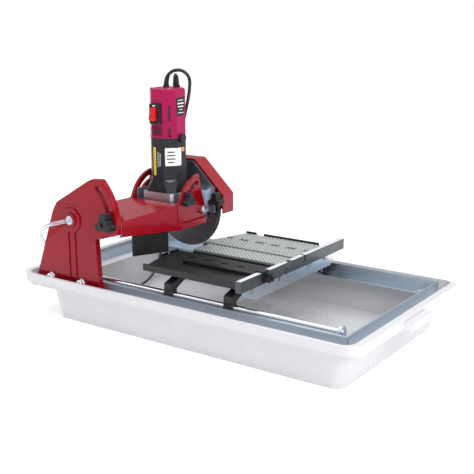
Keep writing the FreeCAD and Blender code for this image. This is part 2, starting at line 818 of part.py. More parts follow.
def make_fence():
    """The bar across the table's end, cut for the upright and the tilted blade."""
    fence = new_body("fence")
    outline = rectangle(S.fence_near, S.fence_far, fence_bottom, S.fence_top)
    pad(fence, "YZ", fence_low_x, fence_high_x, [(outline, None)])
    upright = rectangle(blade_low, blade_high, S.table_top - 3, S.fence_top + 1)
    pocket(fence, "YZ", fence_low_x - 1, fence_high_x + 1, [(upright, None)])
    side = sized(6)
    foot = fence_bottom - 1
    tilted = [(foot + lean - side, foot), (foot + lean + side, foot),
              (S.fence_top + lean + side * 1.6, S.fence_top + 1),
              (S.fence_top + lean - side, S.fence_top + 1)]
    pocket(fence, "YZ", fence_low_x - 1, fence_high_x + 1, [(tilted, None)])
    return fence


def make_apron():
    """The sheet hung under the fence, with a wedge cut where the tilted blade ends."""
    apron = new_body("apron")
    near, far = S.table_near + 12, S.table_far + 20
    foot = fence_bottom + lean
    outline = [(near, fence_bottom - 12), (near + 40, S.apron_bottom),
               (far - 20, S.apron_bottom), (far, fence_bottom - 14), (far, fence_bottom),
               (foot + 6, fence_bottom), (foot - 4, fence_bottom - 18),
               (foot - 6, fence_bottom), (near, fence_bottom)]
    pad(apron, "YZ", fence_low_x, fence_low_x + S.gauge, [(outline, None)])
    return keep("apron", apron)


def fence_bolts():
    """Socket screws through the apron into the table's end, with their washers."""
    parts = []
    for i, y in enumerate((S.table_near + 34, S.blade_y + 30, S.table_far - 24)):
        parts.append(rod("fence_bolt_%d" % i, "X", (y, fence_bottom - 6),
                         fence_low_x + S.gauge, fence_low_x + S.gauge + 5, S.bolt_head - 1))
    return keep("fence_bolts", group("fence_bolts", parts))


keep("fence", make_fence())
make_apron()
fence_bolts()
guide_low = S.table_top + 0.4
guide_far = S.guide_near + S.guide_wide
clamp_y = S.guide_near + S.guide_wide / 2
clamp_high = fence_high_x + 0.4
clamp_out = clamp_high + 3


def make_rip_guide():
    """An angle that lies on the near mat and squares a strip to the blade."""
    guide = new_body("rip_guide")
    top = guide_low + S.guide_tall
    outline = [(S.guide_near, guide_low), (guide_far, guide_low),
               (guide_far, guide_low + S.gauge), (S.guide_near + 3, guide_low + S.gauge),
               (S.guide_near + 3, top), (S.guide_near, top)]
    pad(guide, "YZ", S.guide_left, fence_low_x - 0.4, [(outline, None)])
    return keep("rip_guide", guide)


def make_rip_clamp():
    """A bridge over the fence that ties the rip guide to it."""
    clamp = new_body("rip_clamp")
    top = S.fence_top + 0.4
    foot = guide_low + S.gauge
    outline = [(fence_low_x - 18, foot), (fence_low_x - 0.4, foot),
               (fence_low_x - 0.4, top), (clamp_high, top), (clamp_high, fence_bottom + 4),
               (clamp_out, fence_bottom + 4), (clamp_out, top + 3),
               (fence_low_x - 3.4, top + 3), (fence_low_x - 3.4, foot + 3),
               (fence_low_x - 18, foot + 3)]
    pad(clamp, "XZ", clamp_y - 10, clamp_y + 10, [(outline, None)])
    pocket(clamp, "YZ", clamp_high - 1, clamp_out + 1,
           circles=[((clamp_y, S.fence_top - 10), sized(3.05))])
    return keep("rip_clamp", clamp)


make_rip_guide()
make_rip_clamp()


def rip_knob():
    """The clamp's thumb screw, its stud ending just short of the fence."""
    spot = (clamp_y, S.fence_top - 10)
    stud = rod("rip_stud", "X", spot, fence_high_x + 0.1, clamp_out + 8, sized(3))
    lobes = three_lobe_knob("rip_lobes", "X", spot, clamp_out + 0.6, clamp_out + 12,
                            sized(10), sized(2.9))
    return keep("rip_knob", join("rip_knob", [stud, lobes]))


rip_knob()

# ---- arm ---------------------------------------------------------------------

stud_spot = polar(hub, S.slot_arc, S.stud_angle)
tilt = (S.tilt_y, S.tilt_z)
bush_radius = S.pivot_radius + S.bush_wall


def along_arm(near, far, y):
    """A size of the arm's box at a place between its near and far ends."""
    return near + (far - near) * (y - S.arm_near) / (S.arm_far - S.arm_near)


def front_face(y):
    return along_arm(S.arm_near_right, S.cradle_front, y)


def arm_sides(y, inset, low):
    """The arm's box in cross-section, moved in by a wall: X limits and Z limits."""
    left = along_arm(S.arm_near_left, S.cradle_rear, y) + inset
    top = along_arm(S.arm_near_top, S.arm_far_top, y) - inset
    return (left, front_face(y) - inset, low, top)


def arm_block(name, near, far, inset, low):
    return wedge(name, near, far, arm_sides(near, inset, low), arm_sides(far, inset, low))


def bead_sides(y):
    """The bead along the bottom of the front wall, in cross-section."""
    low = S.arm_bottom + 0.6
    return (front_face(y) - 1, front_face(y) + S.arm_rib - 1, low, low + S.arm_rib * 2)


def sector_outline():
    """The cradle's side plate: pivot, quarter arc and the way back to the deck."""
    start = S.arm_far - 5
    arc_low = polar(tilt, S.sector_arc, 159)
    arc_high = polar(tilt, S.sector_arc, 97)
    corners = [(start, S.arm_bottom), (S.tilt_y + 8, S.arm_bottom),
               (S.tilt_y + 11, S.tilt_z - 10), (S.tilt_y + 11, S.tilt_z + 6),
               (S.tilt_y - 2, S.tilt_z + 40), arc_high, arc_low,
               (start, S.arm_far_top - 4)]
    return corners, {5: (S.sector_arc, tilt, 1)}


def sector_plate(label, low, high):
    """One side of the cradle, with its pivot hole and its curved slot."""
    plate = new_body(label)
    start = S.tilt_stud_angle - S.tilt_range - 0.5
    slot = slot_outline(tilt, S.tilt_slot_arc, S.tilt_slot_wide, start,
                        S.tilt_stud_angle + 0.4)
    pad(plate, "YZ", low, high, [sector_outline()])
    pocket(plate, "YZ", low, high, [slot])
    pocket(plate, "YZ", low, high, circles=[(tilt, 5 + S.run_gap)])
    return plate


def make_arm():
    """The plunging casting: a hollow box that ends in a cradle of two sector plates."""
    near, far, wall = S.arm_near, S.arm_far, S.arm_wall
    shell = cut("arm_shell", arm_block("arm_outside", near, far, sized(0), S.arm_bottom),
                arm_block("arm_inside", near + wall, far - wall, wall, S.arm_bottom - 2))
    bead_end = bead_sides(far)
    parts = [shell,
             sector_plate("sector_front", S.cradle_front - S.cradle_plate, S.cradle_front),
             sector_plate("sector_rear", S.cradle_rear, S.cradle_rear + S.cradle_plate),
             wedge("bead_slanted", near + 52, far, bead_sides(near + 52), bead_end),
             box("bead_straight", bead_end[0], bead_end[1], far, S.tilt_y + 8,
                 bead_end[2], bead_end[3]),
             rod("hub_boss", "Y", hub, near, boss_far, bush_radius + 4.5),
             rod("stud_boss", "Y", stud_spot, near, near + 12, sized(11))]
    bores = [rod("hub_bore", "Y", hub, near - 1, boss_far + 1, bush_radius),
             rod("stud_bore", "Y", stud_spot, near - 1, near + 13, sized(5))]
    return keep("arm", cut("arm", join("arm_solid", parts), join("arm_bores", bores)))


make_arm()
keep("arm_bush", tube("arm_bush", "Y", hub, S.arm_near, boss_far, bush_radius,
                      S.pivot_radius + S.run_gap))


def arm_spacer():
    """The plated wear plate between the post and the arm."""
    low = post_back + 0.4
    outline = rectangle(S.arm_near_left + 1, S.arm_near_right + 3, S.arm_bottom,
                        S.arm_near_top - 1)
    plate = new_body("arm_spacer")
    pad(plate, "XZ", low, S.arm_near, [(outline, None)])
    pocket(plate, "XZ", low, S.arm_near, circles=[(hub, S.pivot_radius + 0.5)])
    pocket(plate, "XZ", low, S.arm_near, circles=[(stud_spot, sized(5))])
    return keep("arm_spacer", plate)


arm_spacer()
knob_low = post_front - 21


def threaded_knob(label, axis, across, knob, stud, reach, radius):
    """A three-lobe knob moulded on its stud. knob and stud hold (low, high) levels."""
    lobes = three_lobe_knob(label + "_lobes", axis, across, knob[0], knob[1], reach,
                            radius - 0.1)
    pin = rod(label + "_stud", axis, across, stud[0], stud[1], radius)
    return keep(label, join(label, [lobes, pin]))


threaded_knob("depth_knob", "Y", stud_spot, (knob_low, post_front - 0.6),
              (knob_low + 3, S.arm_near + 12), sized(21), 5 - S.run_gap)


def curtain_outline(inner, outer):
    """A strip in plan that follows the inside of the arm's front wall."""
    near, far = S.arm_near + 30, S.arm_far - 17
    return [(front_face(near) - outer, near), (front_face(near) - inner, near),
            (front_face(far) - inner, far), (front_face(far) - outer, far)]


def curtain_piece(name, low, high, inner, outer):
    piece = new_body(name)
    pad(piece, "XY", low, high, [(curtain_outline(inner, outer), None)])
    return piece


def make_curtain():
    """The rubber splash flap and the strip that clamps it inside the arm."""
    inner = S.arm_wall + 4
    flap = curtain_piece("curtain_flap", S.curtain_bottom, S.arm_bottom + 16, inner,
                         inner + S.curtain_thick)
    strip = curtain_piece("curtain_strip", S.arm_bottom + 3, S.arm_bottom + 15,
                          S.arm_wall, inner)
    return keep("curtain", group("curtain", [flap, strip]))


make_curtain()

# ---- head: gear case, motor, switch ------------------------------------------

motor = (S.motor_x, S.motor_y)
spindle_spot = (S.motor_x, S.spindle_z)


def octagon(flat):
    """Corners of an octagon about the motor's axis, from its distance across a flat."""
    reach = flat / cosine(22.5)
    return [polar(motor, reach, 22.5 + 45 * step) for step in range(8)]


def chamfered_square(half, corner):
    """Eight corners in the same order as the octagon's."""
    short = half - corner
    steps = ((half, short), (short, half), (-short, half), (-half, short),
             (-half, -short), (-short, -half), (short, -half), (half, -short))
    return [(S.motor_x + x, S.motor_y + y) for x, y in steps]


def make_gear_head():
    """The aluminium case round the bevel gears, with a nose for the spindle."""
    case = new_body("gear_head")
    corners, arcs = rounded(S.motor_x - 38, S.motor_x + 38, S.motor_y - 36,
                            S.motor_y + 41, sized(8))
    pad(case, "XY", S.head_bottom, S.plate_bottom, [(corners, arcs)])
    low = float(S.head_bottom)
    fillet(case, sized(5), lambda edge: all(abs(v.Z - low) < 0.01 for v in edge.Vertexes))
    face = S.motor_y + 41
    pad(case, "XZ", face, S.guard_near, circles=[(spindle_spot, sized(21))])
    room = rectangle(S.motor_x - 22, S.motor_x + 22, S.motor_y - 26, S.motor_y + 29)
    pocket(case, "XY", S.spindle_z - 20 + 2.5, S.plate_bottom, [(room, None)])
    pocket(case, "XZ", S.motor_y + 20, S.guard_near, circles=[(spindle_spot, sized(12))])
    return keep("gear_head", case)


def make_gear_plate():
    plate = new_body("gear_plate")
    pad(plate, "XY", S.plate_bottom, S.plate_top, [(chamfered_square(sized(40),
                                                                     sized(5)), None)])
    pocket(plate, "XY", S.plate_bottom, S.plate_top, circles=[(motor, sized(11))])
    return keep("gear_plate", plate)


def make_motor_housing():
    """The black lower housing: a flared foot that turns into an octagon."""
    housing = new_body("motor_housing")
    loft(housing, "Additive", "XY",
         [(S.plate_top, chamfered_square(sized(39), sized(12)), None),
          (S.flare_top, octagon(S.motor_flat), None)])
    pad(housing, "XY", S.flare_top, S.seam_z, [(octagon(S.motor_flat), None)])
    pocket(housing, "XY", S.plate_top, S.seam_z, circles=[(motor, S.motor_bore)])
    return keep("motor_housing", housing)


def make_motor_cover():
    """The coloured top cover, with air slots in two of its facets."""
    cover = new_body("motor_cover_solid")
    pad(cover, "XY", S.seam_z, S.cover_top, [(octagon(S.motor_flat), None)])
    top = float(S.cover_top)
    fillet(cover, sized(4), lambda edge: all(abs(v.Z - top) < 0.01 for v in edge.Vertexes))
    pocket(cover, "XY", S.seam_z, S.seam_z + 20, circles=[(motor, S.motor_bore)])
    pocket(cover, "XY", S.seam_z + 20, S.seam_z + 30, circles=[(motor, sized(11))])
    face = S.motor_y - S.motor_flat
    vents = []
    for i in range(5):
        x = S.motor_x - 12 + 5 * i
        vents.append(box("vent_%d" % i, x, x + 2, face - 1, face + 6, S.seam_z + 5,
                         S.seam_z + 19))
    for i, (low, high) in enumerate(((4, 19), (36, 67))):
        vent = box("facet_vent_%d" % i, 0, 8, 0, 4, S.seam_z + low, S.seam_z + high)
        reach = polar(motor, S.motor_flat - 6, -45)
        side = polar(reach, sized(2), -135)
        place(vent, side[0], side[1], S.seam_z + low, (-45, FreeCAD.Vector(0, 0, 1)))
        vents.append(vent)
    return keep("motor_cover", cut("motor_cover", cover, join("cover_vents", vents)))


make_gear_head()
make_gear_plate()
make_motor_housing()
make_motor_cover()
cap_reach = S.motor_flat + 6
cap_spot = (S.motor_y, S.seam_z)
keep("brush_caps", group("brush_caps", [
    rod("cap_front", "X", cap_spot, S.motor_x + S.motor_flat, S.motor_x + cap_reach,
        sized(9)),
    rod("cap_rear", "X", cap_spot, S.motor_x - cap_reach, S.motor_x - S.motor_flat,
        sized(9))]))

switch_back = S.motor_y - S.motor_flat
switch_face = switch_back - 9
switch_low = S.seam_z + 31
switch_high = S.seam_z + 71


def make_switch():
    """The switch frame on the near facet and the paddle hinged at its top."""
    frame = new_body("switch_frame")
    shape = rectangle(S.motor_x - 12, S.motor_x + 12, switch_low, switch_high)
    pad(frame, "XZ", switch_face, switch_back, [(shape, None)])
    well = rectangle(S.motor_x - 8, S.motor_x + 8, switch_low + 3, switch_high - 3)
    pocket(frame, "XZ", switch_face, switch_face + 6.5, [(well, None)])
    keep("switch_frame", frame)
    back = switch_face + 0.5
    corners = [(back, switch_high - 6), (back, switch_low + 6.5),
               (switch_face - 7, switch_low + 6.5), (switch_face - 9, switch_low + 12),
               (switch_face - 2, switch_high - 6)]
    pad_part("switch_paddle", "YZ", S.motor_x - 7, S.motor_x + 7, [(corners, None)])


make_switch()
mains_gland = (S.motor_x - 13, S.motor_y + 13)
pump_gland = (S.motor_x + 6, S.motor_y + 25)


def cord_reliefs():
    """Two rubber strain reliefs on top of the cover."""
    parts = []
    for name, spot, radius in (("mains", mains_gland, S.cord_radius),
                               ("pump", pump_gland, S.pump_cord_radius)):
        collar = rod("collar_" + name, "Z", spot, S.cover_top, S.cover_top + 4, sized(6.5))
        neck = rod("neck_" + name, "Z", spot, S.cover_top + 3, S.cover_top + 7,
                   radius + 1.6)
        bore = rod("relief_bore_" + name, "Z", spot, S.cover_top + 1, S.cover_top + 8,
                   radius)
        parts.append(cut("relief_" + name, join("relief_body_" + name, [collar, neck]),
                         bore))
    return keep("cord_reliefs", group("cord_reliefs", parts))


cord_reliefs()
stack_low = S.flare_top + 12
stack_high = S.seam_z - 16
keep("stator", tube("stator", "Z", motor, stack_low, stack_high, S.motor_bore - 0.3,
                    S.motor_bore - 9.7))
shaft_gap = S.run_gap + 4.9


def make_armature():
    """The rotor: shaft, laminated core, commutator and cooling fan."""
    parts = [rod("rotor_shaft", "Z", motor, S.plate_bottom - 1, S.seam_z + 29,
                 sized(4.9)),
             rod("rotor_core", "Z", motor, stack_low, stack_high, S.motor_bore - 10.5),
             rod("commutator", "Z", motor, stack_high + 3, stack_high + 14, sized(10)),
             rod("cooling_fan", "Z", motor, S.plate_top + 6, S.plate_top + 15,
                 S.motor_bore - 2.5)]
    return keep("armature", join("armature", parts))


make_armature()


def cone(name, axis, across, low, high, radius_low, radius_high):
    thing = doc.addObject("Part::Cone", name)
    bind(thing, "Radius1", radius_low)
    bind(thing, "Radius2", radius_high)
    bind(thing, "Height", high - sized(low))
    spots = {"Y": (across[0], low, across[1]), "Z": (across[0], across[1], low)}
    return place(thing, *spots[axis], turn=TURNS[axis])


keep("pinion", cone("pinion", "Z", motor, S.plate_bottom - 12, S.plate_bottom - 1,
                    sized(5), sized(6)))
gear_face = S.motor_y + 6.6
gear_cone = cone("bevel_solid", "Y", spindle_spot, gear_face, gear_face + 9, sized(17),
                 sized(14))
gear_bore = rod("bevel_bore", "Y", spindle_spot, gear_face - 1, gear_face + 10, sized(6))
keep("bevel_gear", cut("bevel_gear", gear_cone, gear_bore))


def bearings():
    """Three bearings: two on the armature shaft and one on the spindle."""
    low = S.plate_bottom + 8
    parts = [tube("bearing_low", "Z", motor, low, low + 8, sized(11), shaft_gap),
             tube("bearing_high", "Z", motor, S.seam_z + 21, S.seam_z + 29, sized(11),
                  shaft_gap),
             tube("bearing_nose", "Y", spindle_spot, S.motor_y + 42, S.guard_near,
                  sized(12), 6 + S.run_gap)]
    return keep("bearings", group("bearings", parts))


bearings()

# ---- guard and tilt fittings -------------------------------------------------

cover_near = S.guard_near + S.guard_plate
flange_front = S.cradle_front - S.cradle_plate - 2
flange_rear = S.cradle_rear + S.cradle_plate + 2
lock_spot = polar(tilt, S.tilt_slot_arc, S.tilt_stud_angle)


def make_guard_plate():
    """The plated inner plate, bent into two ears that hang on the tilt bolts."""
    plate = new_body("guard_plate")
    low = S.guard_low - 14
    corners = [(flange_rear, low), (flange_front, low), (flange_front, S.guard_low),
               (S.guard_front - 20, S.guard_low), (S.guard_front - 20, S.guard_low + 52),
               (S.guard_front - 76, S.guard_top - 4), (S.guard_rear + 68, S.guard_top - 4),
               (S.guard_rear + 9, S.guard_low + 42), (S.guard_rear + 9, S.guard_low),
               (flange_rear, S.guard_low)]
    pad(plate, "XZ", S.guard_near, cover_near, [(corners, None)])
    near = S.guard_near
    lock_y, lock_z = lock_spot
    front_ear = [(near, low + 3), (near, S.tilt_z + 36), (S.tilt_y - 20, S.tilt_z + 49),
                 (lock_y - 8, lock_z + 13), (lock_y - 11, lock_z - 10),
                 (S.tilt_y - 14, low + 3)]
    rear_ear = [(near, low + 3), (near, S.tilt_z + 2), (S.tilt_y + 8, S.tilt_z + 2),
                (S.tilt_y + 8, S.tilt_z + 14), (S.tilt_y - 2, S.tilt_z + 40),
                (lock_y - 8, lock_z + 13), (lock_y - 11, lock_z - 10),
                (S.tilt_y - 14, low + 3)]
    thick = sized(3)
    pad(plate, "YZ", flange_front - thick, flange_front, [(front_ear, None)])
    pad(plate, "YZ", flange_rear, flange_rear + thick, [(rear_ear, None)])
    pocket(plate, "XZ", S.guard_near, cover_near, circles=[(spindle_spot, sized(10))])
    for low_x in (flange_front - thick, flange_rear):
        pocket(plate, "YZ", low_x, low_x + thick, circles=[(tilt, sized(5))])
    pocket(plate, "YZ", flange_front - thick, flange_front,
           circles=[(lock_spot, sized(4))])
    return keep("guard_plate", plate)


def guard_outline(inset, low):
    """The guard's six-sided outline, moved in by its wall."""
    front, rear = S.guard_front - inset, S.guard_rear + inset
    top = S.guard_top - inset
    shoulder = S.guard_low + 40 - inset / 2
    flat = inset / 2
    return [(rear, low), (front, low), (front, shoulder), (S.guard_front - 74 - flat, top),
            (S.guard_rear + 67 + flat, top), (rear, shoulder)]


def make_guard_cover():
    """The painted cover over the blade's upper half, open below and on the near side."""
    cover = new_body("guard_cover")
    pad(cover, "XZ", cover_near, S.guard_far, [(guard_outline(sized(0), S.guard_low),
                                                None)])
    far = float(S.guard_far)
    low = float(S.guard_low)
    fillet(cover, sized(3), lambda edge: (
        all(abs(v.Y - far) < 0.01 for v in edge.Vertexes)
        and edge.BoundBox.ZMax > low + 0.5))
    pocket(cover, "XZ", cover_near, S.guard_far - S.guard_wall,
           [(guard_outline(S.guard_wall, S.guard_low - 1), None)])
    return keep("guard_cover", cover)


make_guard_plate()
make_guard_cover()
knob_spot = (S.guard_front - 8.5, S.guard_low + 31)
keep("guard_spacer", tube("guard_spacer", "Y", knob_spot, cover_near,
                          S.guard_far - S.guard_wall, sized(4.5), sized(3.05)))
threaded_knob("guard_knob", "Y", knob_spot, (S.guard_near - 20, S.guard_near - 0.4),
              (S.guard_near - 14, S.guard_near + 30), sized(16), sized(3))


def tilt_bolts():
    """Shoulder bolts through the cradle plates into the guard plate's ears."""
    gap = sized(0.3)
    front = [rod("tilt_shank_front", "X", tilt, flange_front - 3, S.cradle_front + gap,
                 sized(5)),
             rod("tilt_head_front", "X", tilt, S.cradle_front + gap, S.cradle_front + 7,
                 sized(9))]
    rear = [rod("tilt_shank_rear", "X", tilt, S.cradle_rear - gap, flange_rear + 3,
                sized(5)),
            rod("tilt_head_rear", "X", tilt, S.cradle_rear - 7, S.cradle_rear - gap,
                sized(9))]
    return keep("tilt_bolts", group("tilt_bolts", [join("tilt_bolt_front", front),
                                                   join("tilt_bolt_rear", rear)]))


tilt_bolts()
lock_knob_low = S.cradle_front + 0.6
threaded_knob("tilt_knob", "X", lock_spot, (lock_knob_low, lock_knob_low + 14),
              (flange_front - 3, lock_knob_low + 13), sized(16), 4 - S.run_gap)

# ---- spindle and blade -------------------------------------------------------

blade_near = S.blade_y - S.blade_thick / 2
blade_far = S.blade_y + S.blade_thick / 2
flange_near = blade_near - 4.2
flange_far = blade_far + 4.2


def make_spindle():
    parts = [rod("spindle_tail", "Y", spindle_spot, S.motor_y + 4, flange_near, sized(6)),
             rod("spindle_nose", "Y", spindle_spot, flange_near, flange_far + 11,
                 S.arbor_radius)]
    return keep("spindle", join("spindle", parts))


def disc(name, low, high, radius):
    return tube(name, "Y", spindle_spot, low, high, radius, S.arbor_radius)


make_spindle()
keep("blade_flanges", group("blade_flanges", [
    disc("flange_inner", flange_near, blade_near, S.flange_radius),
    disc("flange_outer", blade_far, flange_far, S.flange_radius)]))
keep("blade", disc("blade", blade_near, blade_far, S.blade_radius))
nut_solid = prism("nut_solid", 6, "Y", spindle_spot, flange_far, flange_far + 9, sized(13.5))
nut_bore = rod("nut_bore", "Y", spindle_spot, flange_far - 1, flange_far + 10,
               S.arbor_radius)
keep("arbor_nut", cut("arbor_nut", nut_solid, nut_bore))

# ---- pump, water tube and cords ----------------------------------------------

PUMP_SPOT = (-299, -138)
PUMP_CORD_Z = 20


def make_pump():
    """The small submersible pump that stands on the tray's floor."""
    x, y = PUMP_SPOT
    case = box("pump_case", x - 17, x + 17, y - 21, y + 21, S.tray_wall, S.tray_wall + 36)
    outlet = rod("pump_outlet", "Z", (x, y - 10), S.tray_wall + 36, S.tray_wall + 46,
                 sized(6))
    gland = rod("pump_gland", "Y", (x - 2, PUMP_CORD_Z), y + 21, y + 29, sized(5))
    return keep("pump", join("pump", [case, outlet, gland]))


make_pump()
outlet_top = float(S.tray_wall + 46)
WATER_TUBE = [
    (-258, -216, 221), (-258, -228, 221), (-264, -239, 220), (-275.5, -245.5, 217),
    (-291, -247, 211), (-308, -243, 202), (-324, -234, 191), (-338, -220, 177),
    (-347, -203, 160), (-351, -187, 141), (-349, -175, 121), (-341, -164, 106),
    (-328, -156, 93), (-311.6, -149.5, 77.8), (-302.6, -148, 68.3), (-299, -148, 59.5),
    (-299, -148, outlet_top)]
keep("water_tube", sweep("water_tube", WATER_TUBE, S.hose_radius,
                         S.hose_radius - sized(1.2)))

gland_low = float(S.cover_top + 1)
MAINS_HEAD = [
    (-165, -14, gland_low), (-165, -14, 498), (-153.3, -5.8, 512.4),
    (-136.7, 5.8, 512.4), (-125, 14, 498), (-126, 15, 475), (-132, 15, 447),
    (-142, 14.2, 412), (-150, 14.8, 372), (-158, 15, 332), (-169, 16, 297),
    (-181.5, 18.5, 261), (-191, 19.5, 242.4), (-203, 19.5, 235), (-216.5, 19.5, 235)]
PUMP_HEAD = [
    (-146, -2, gland_low), (-146, -2, 492.7), (-153.3, 4.4, 502.4), (-163.7, 13.6, 502.4),
    (-171, 20, 492.7), (-172, 20, 468), (-170, 17, 430), (-169, 14.5, 385),
    (-172, 14, 342), (-179, 14, 304), (-192, 16, 268), (-195, 14.5, 251),
    (-204, 14, 243.5), (-216.5, 14, 243.5)]
MAINS_ARM = [(-217, 19.5, 235), (-241, 19.5, 235), (-262.6, 32, 233.5),
             (-275, 53.5, 229.5), (-275, 73.5, 229.5)]
PUMP_ARM = [(-217, 14, 243.5), (-244.2, 14, 243.5), (-268.8, 28.5, 242),
            (-283, 53.8, 239), (-283, 73.5, 239)]
MAINS_BASE = [
    (-275, 74, 229.5), (-275, 95, 229.5), (-277, 119, 222), (-280, 147, 200),
    (-284, 176, 170), (-288, 207, 139), (-291, 237, 106), (-295, 261, 71),
    (-296, 279, 38), (-293, 300, 14), (-280, 320, 5), (-258, 331, 3.8),
    (-214, 332, 7.2)]
PUMP_BASE = [
    (-283, 74, 239), (-283, 90, 239), (-288, 107, 232), (-299, 125, 214),
    (-312, 142, 190), (-321, 152, 160), (-325, 156, 128), (-324, 153, 97),
    (-320, 143, 68), (-314, 125, 42), (-309, 99, 22), (-305, 66, 11),
    (-303, 28, 8.5), (-301.5, -12, 9), (-301, -46, 13), (-301, -72, 19),
    (-301, -90, PUMP_CORD_Z), (-301, -109, PUMP_CORD_Z)]
keep("cords_head", group("cords_head", [
    sweep("mains_cord_head", MAINS_HEAD, S.cord_radius),
    sweep("pump_cord_head", PUMP_HEAD, S.pump_cord_radius)]))
keep("cords_arm", group("cords_arm", [
    sweep("mains_cord_arm", MAINS_ARM, S.cord_radius),
    sweep("pump_cord_arm", PUMP_ARM, S.pump_cord_radius)]))
keep("mains_cord", sweep("mains_cord", MAINS_BASE, S.cord_radius))
keep("pump_cord", sweep("pump_cord", PUMP_BASE, S.pump_cord_radius))

COIL_SPOT = (-200, 372)


def make_coil():
    """The rest of the mains cord, coiled flat on the floor: one closed ring."""
    thing = doc.addObject("Part::Torus", "mains_coil")
    bind(thing, "Radius1", S.coil_radius)
    bind(thing, "Radius2", S.cord_radius * 2)
    place(thing, COIL_SPOT[0], COIL_SPOT[1], S.cord_radius * 2 + 0.2)
    return keep("mains_coil", thing)


make_coil()


def make_plug():
    """The two-flat-pin plug with its round earth pin, lying beside the coil."""
    x, y = COIL_SPOT[0] + S.coil_radius - 3, COIL_SPOT[1] - S.coil_radius - 3.5
    low = sized(0.2)
    body = box("plug_body", x, x + 32, y - 12, y + 12, low, low + 20)
    tail = rod("plug_tail", "X", (y, low + 10), x - 20, x, sized(5))
    blades = [box("plug_pin_%d" % i, x + 32, x + 48, y + side - 0.8, y + side + 0.8,
                  low + 9, low + 15) for i, side in enumerate((-6.3, 6.3))]
    earth = rod("plug_earth", "X", (y, low + 5), x + 32, x + 50, sized(2.4))
    return keep("mains_plug", join("mains_plug", [body, tail, earth] + blades))


make_plug()

# ---- check and export --------------------------------------------------------

doc.recompute()
failed = [thing.Label for thing in doc.Objects
          if "Invalid" in thing.State or "Error" in thing.State]
if failed:
    raise RuntimeError("failed features: " + ", ".join(failed))
os.makedirs("parts", exist_ok=True)
for label, thing in nodes.items():
    if thing.Shape.isNull() or not thing.Shape.isValid():
        raise RuntimeError("bad shape: " + label)
    thing.Shape.exportStep(os.path.join("parts", label + ".step"))
print("%d sub-parts" % len(nodes))
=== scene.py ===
"""A wet tile saw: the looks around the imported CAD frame.

Routes, places and sizes are in millimetres, and MM turns them to metres. The finishes,
lights, camera and floor, the cords' diameters and bends, and RELIEF_LONG are in metres.
"""

import json
import math

import bmesh
import bpy
from mathutils import Matrix, Vector


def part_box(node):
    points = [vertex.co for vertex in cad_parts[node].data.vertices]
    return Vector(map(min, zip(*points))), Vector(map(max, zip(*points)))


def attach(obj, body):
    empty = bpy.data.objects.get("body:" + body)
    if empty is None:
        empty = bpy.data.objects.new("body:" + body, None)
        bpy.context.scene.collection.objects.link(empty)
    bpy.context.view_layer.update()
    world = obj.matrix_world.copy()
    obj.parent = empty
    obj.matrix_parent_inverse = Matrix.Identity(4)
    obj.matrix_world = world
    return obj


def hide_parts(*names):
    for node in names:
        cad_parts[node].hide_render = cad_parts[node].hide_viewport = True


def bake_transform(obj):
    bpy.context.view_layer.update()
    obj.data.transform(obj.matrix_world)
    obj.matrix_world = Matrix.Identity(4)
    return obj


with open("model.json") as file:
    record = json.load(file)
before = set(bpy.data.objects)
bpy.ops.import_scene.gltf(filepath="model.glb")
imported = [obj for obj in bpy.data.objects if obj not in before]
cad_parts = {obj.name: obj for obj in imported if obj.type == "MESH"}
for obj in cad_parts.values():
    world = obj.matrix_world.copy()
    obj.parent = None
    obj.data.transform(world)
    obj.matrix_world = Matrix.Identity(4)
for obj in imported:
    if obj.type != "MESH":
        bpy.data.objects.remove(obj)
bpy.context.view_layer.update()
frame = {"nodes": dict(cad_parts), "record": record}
MM = 0.001
nodes = frame["nodes"]

# ---- materials -----------------------------------------------------------------

FINISHES = {}


def link(tree, source, target):
    """Joins an output to an input."""
    tree.links.new(source, target)


def noise(tree, place, scale, detail=3.0, rough=0.55):
    """A noise texture's value over the object's own coordinates."""
    node = tree.nodes.new("ShaderNodeTexNoise")
    node.inputs["Scale"].default_value = scale
    node.inputs["Detail"].default_value = detail
    node.inputs["Roughness"].default_value = rough
    link(tree, place, node.inputs["Vector"])
    return node.outputs["Fac"]


def remap(tree, value, low, high, start=0.3, end=0.7):
    """The value stretched from start..end to low..high."""
    node = tree.nodes.new("ShaderNodeMapRange")
    node.inputs["From Min"].default_value = start
    node.inputs["From Max"].default_value = end
    node.inputs["To Min"].default_value = low
    node.inputs["To Max"].default_value = high
    link(tree, value, node.inputs["Value"])
    return node.outputs["Result"]


def two_tone(tree, value, first, second):
    """A colour between two, by value."""
    node = tree.nodes.new("ShaderNodeMix")
    node.data_type = "RGBA"
    node.inputs["A"].default_value = (*first, 1)
    node.inputs["B"].default_value = (*second, 1)
    link(tree, value, node.inputs["Factor"])
    return node.outputs["Result"]


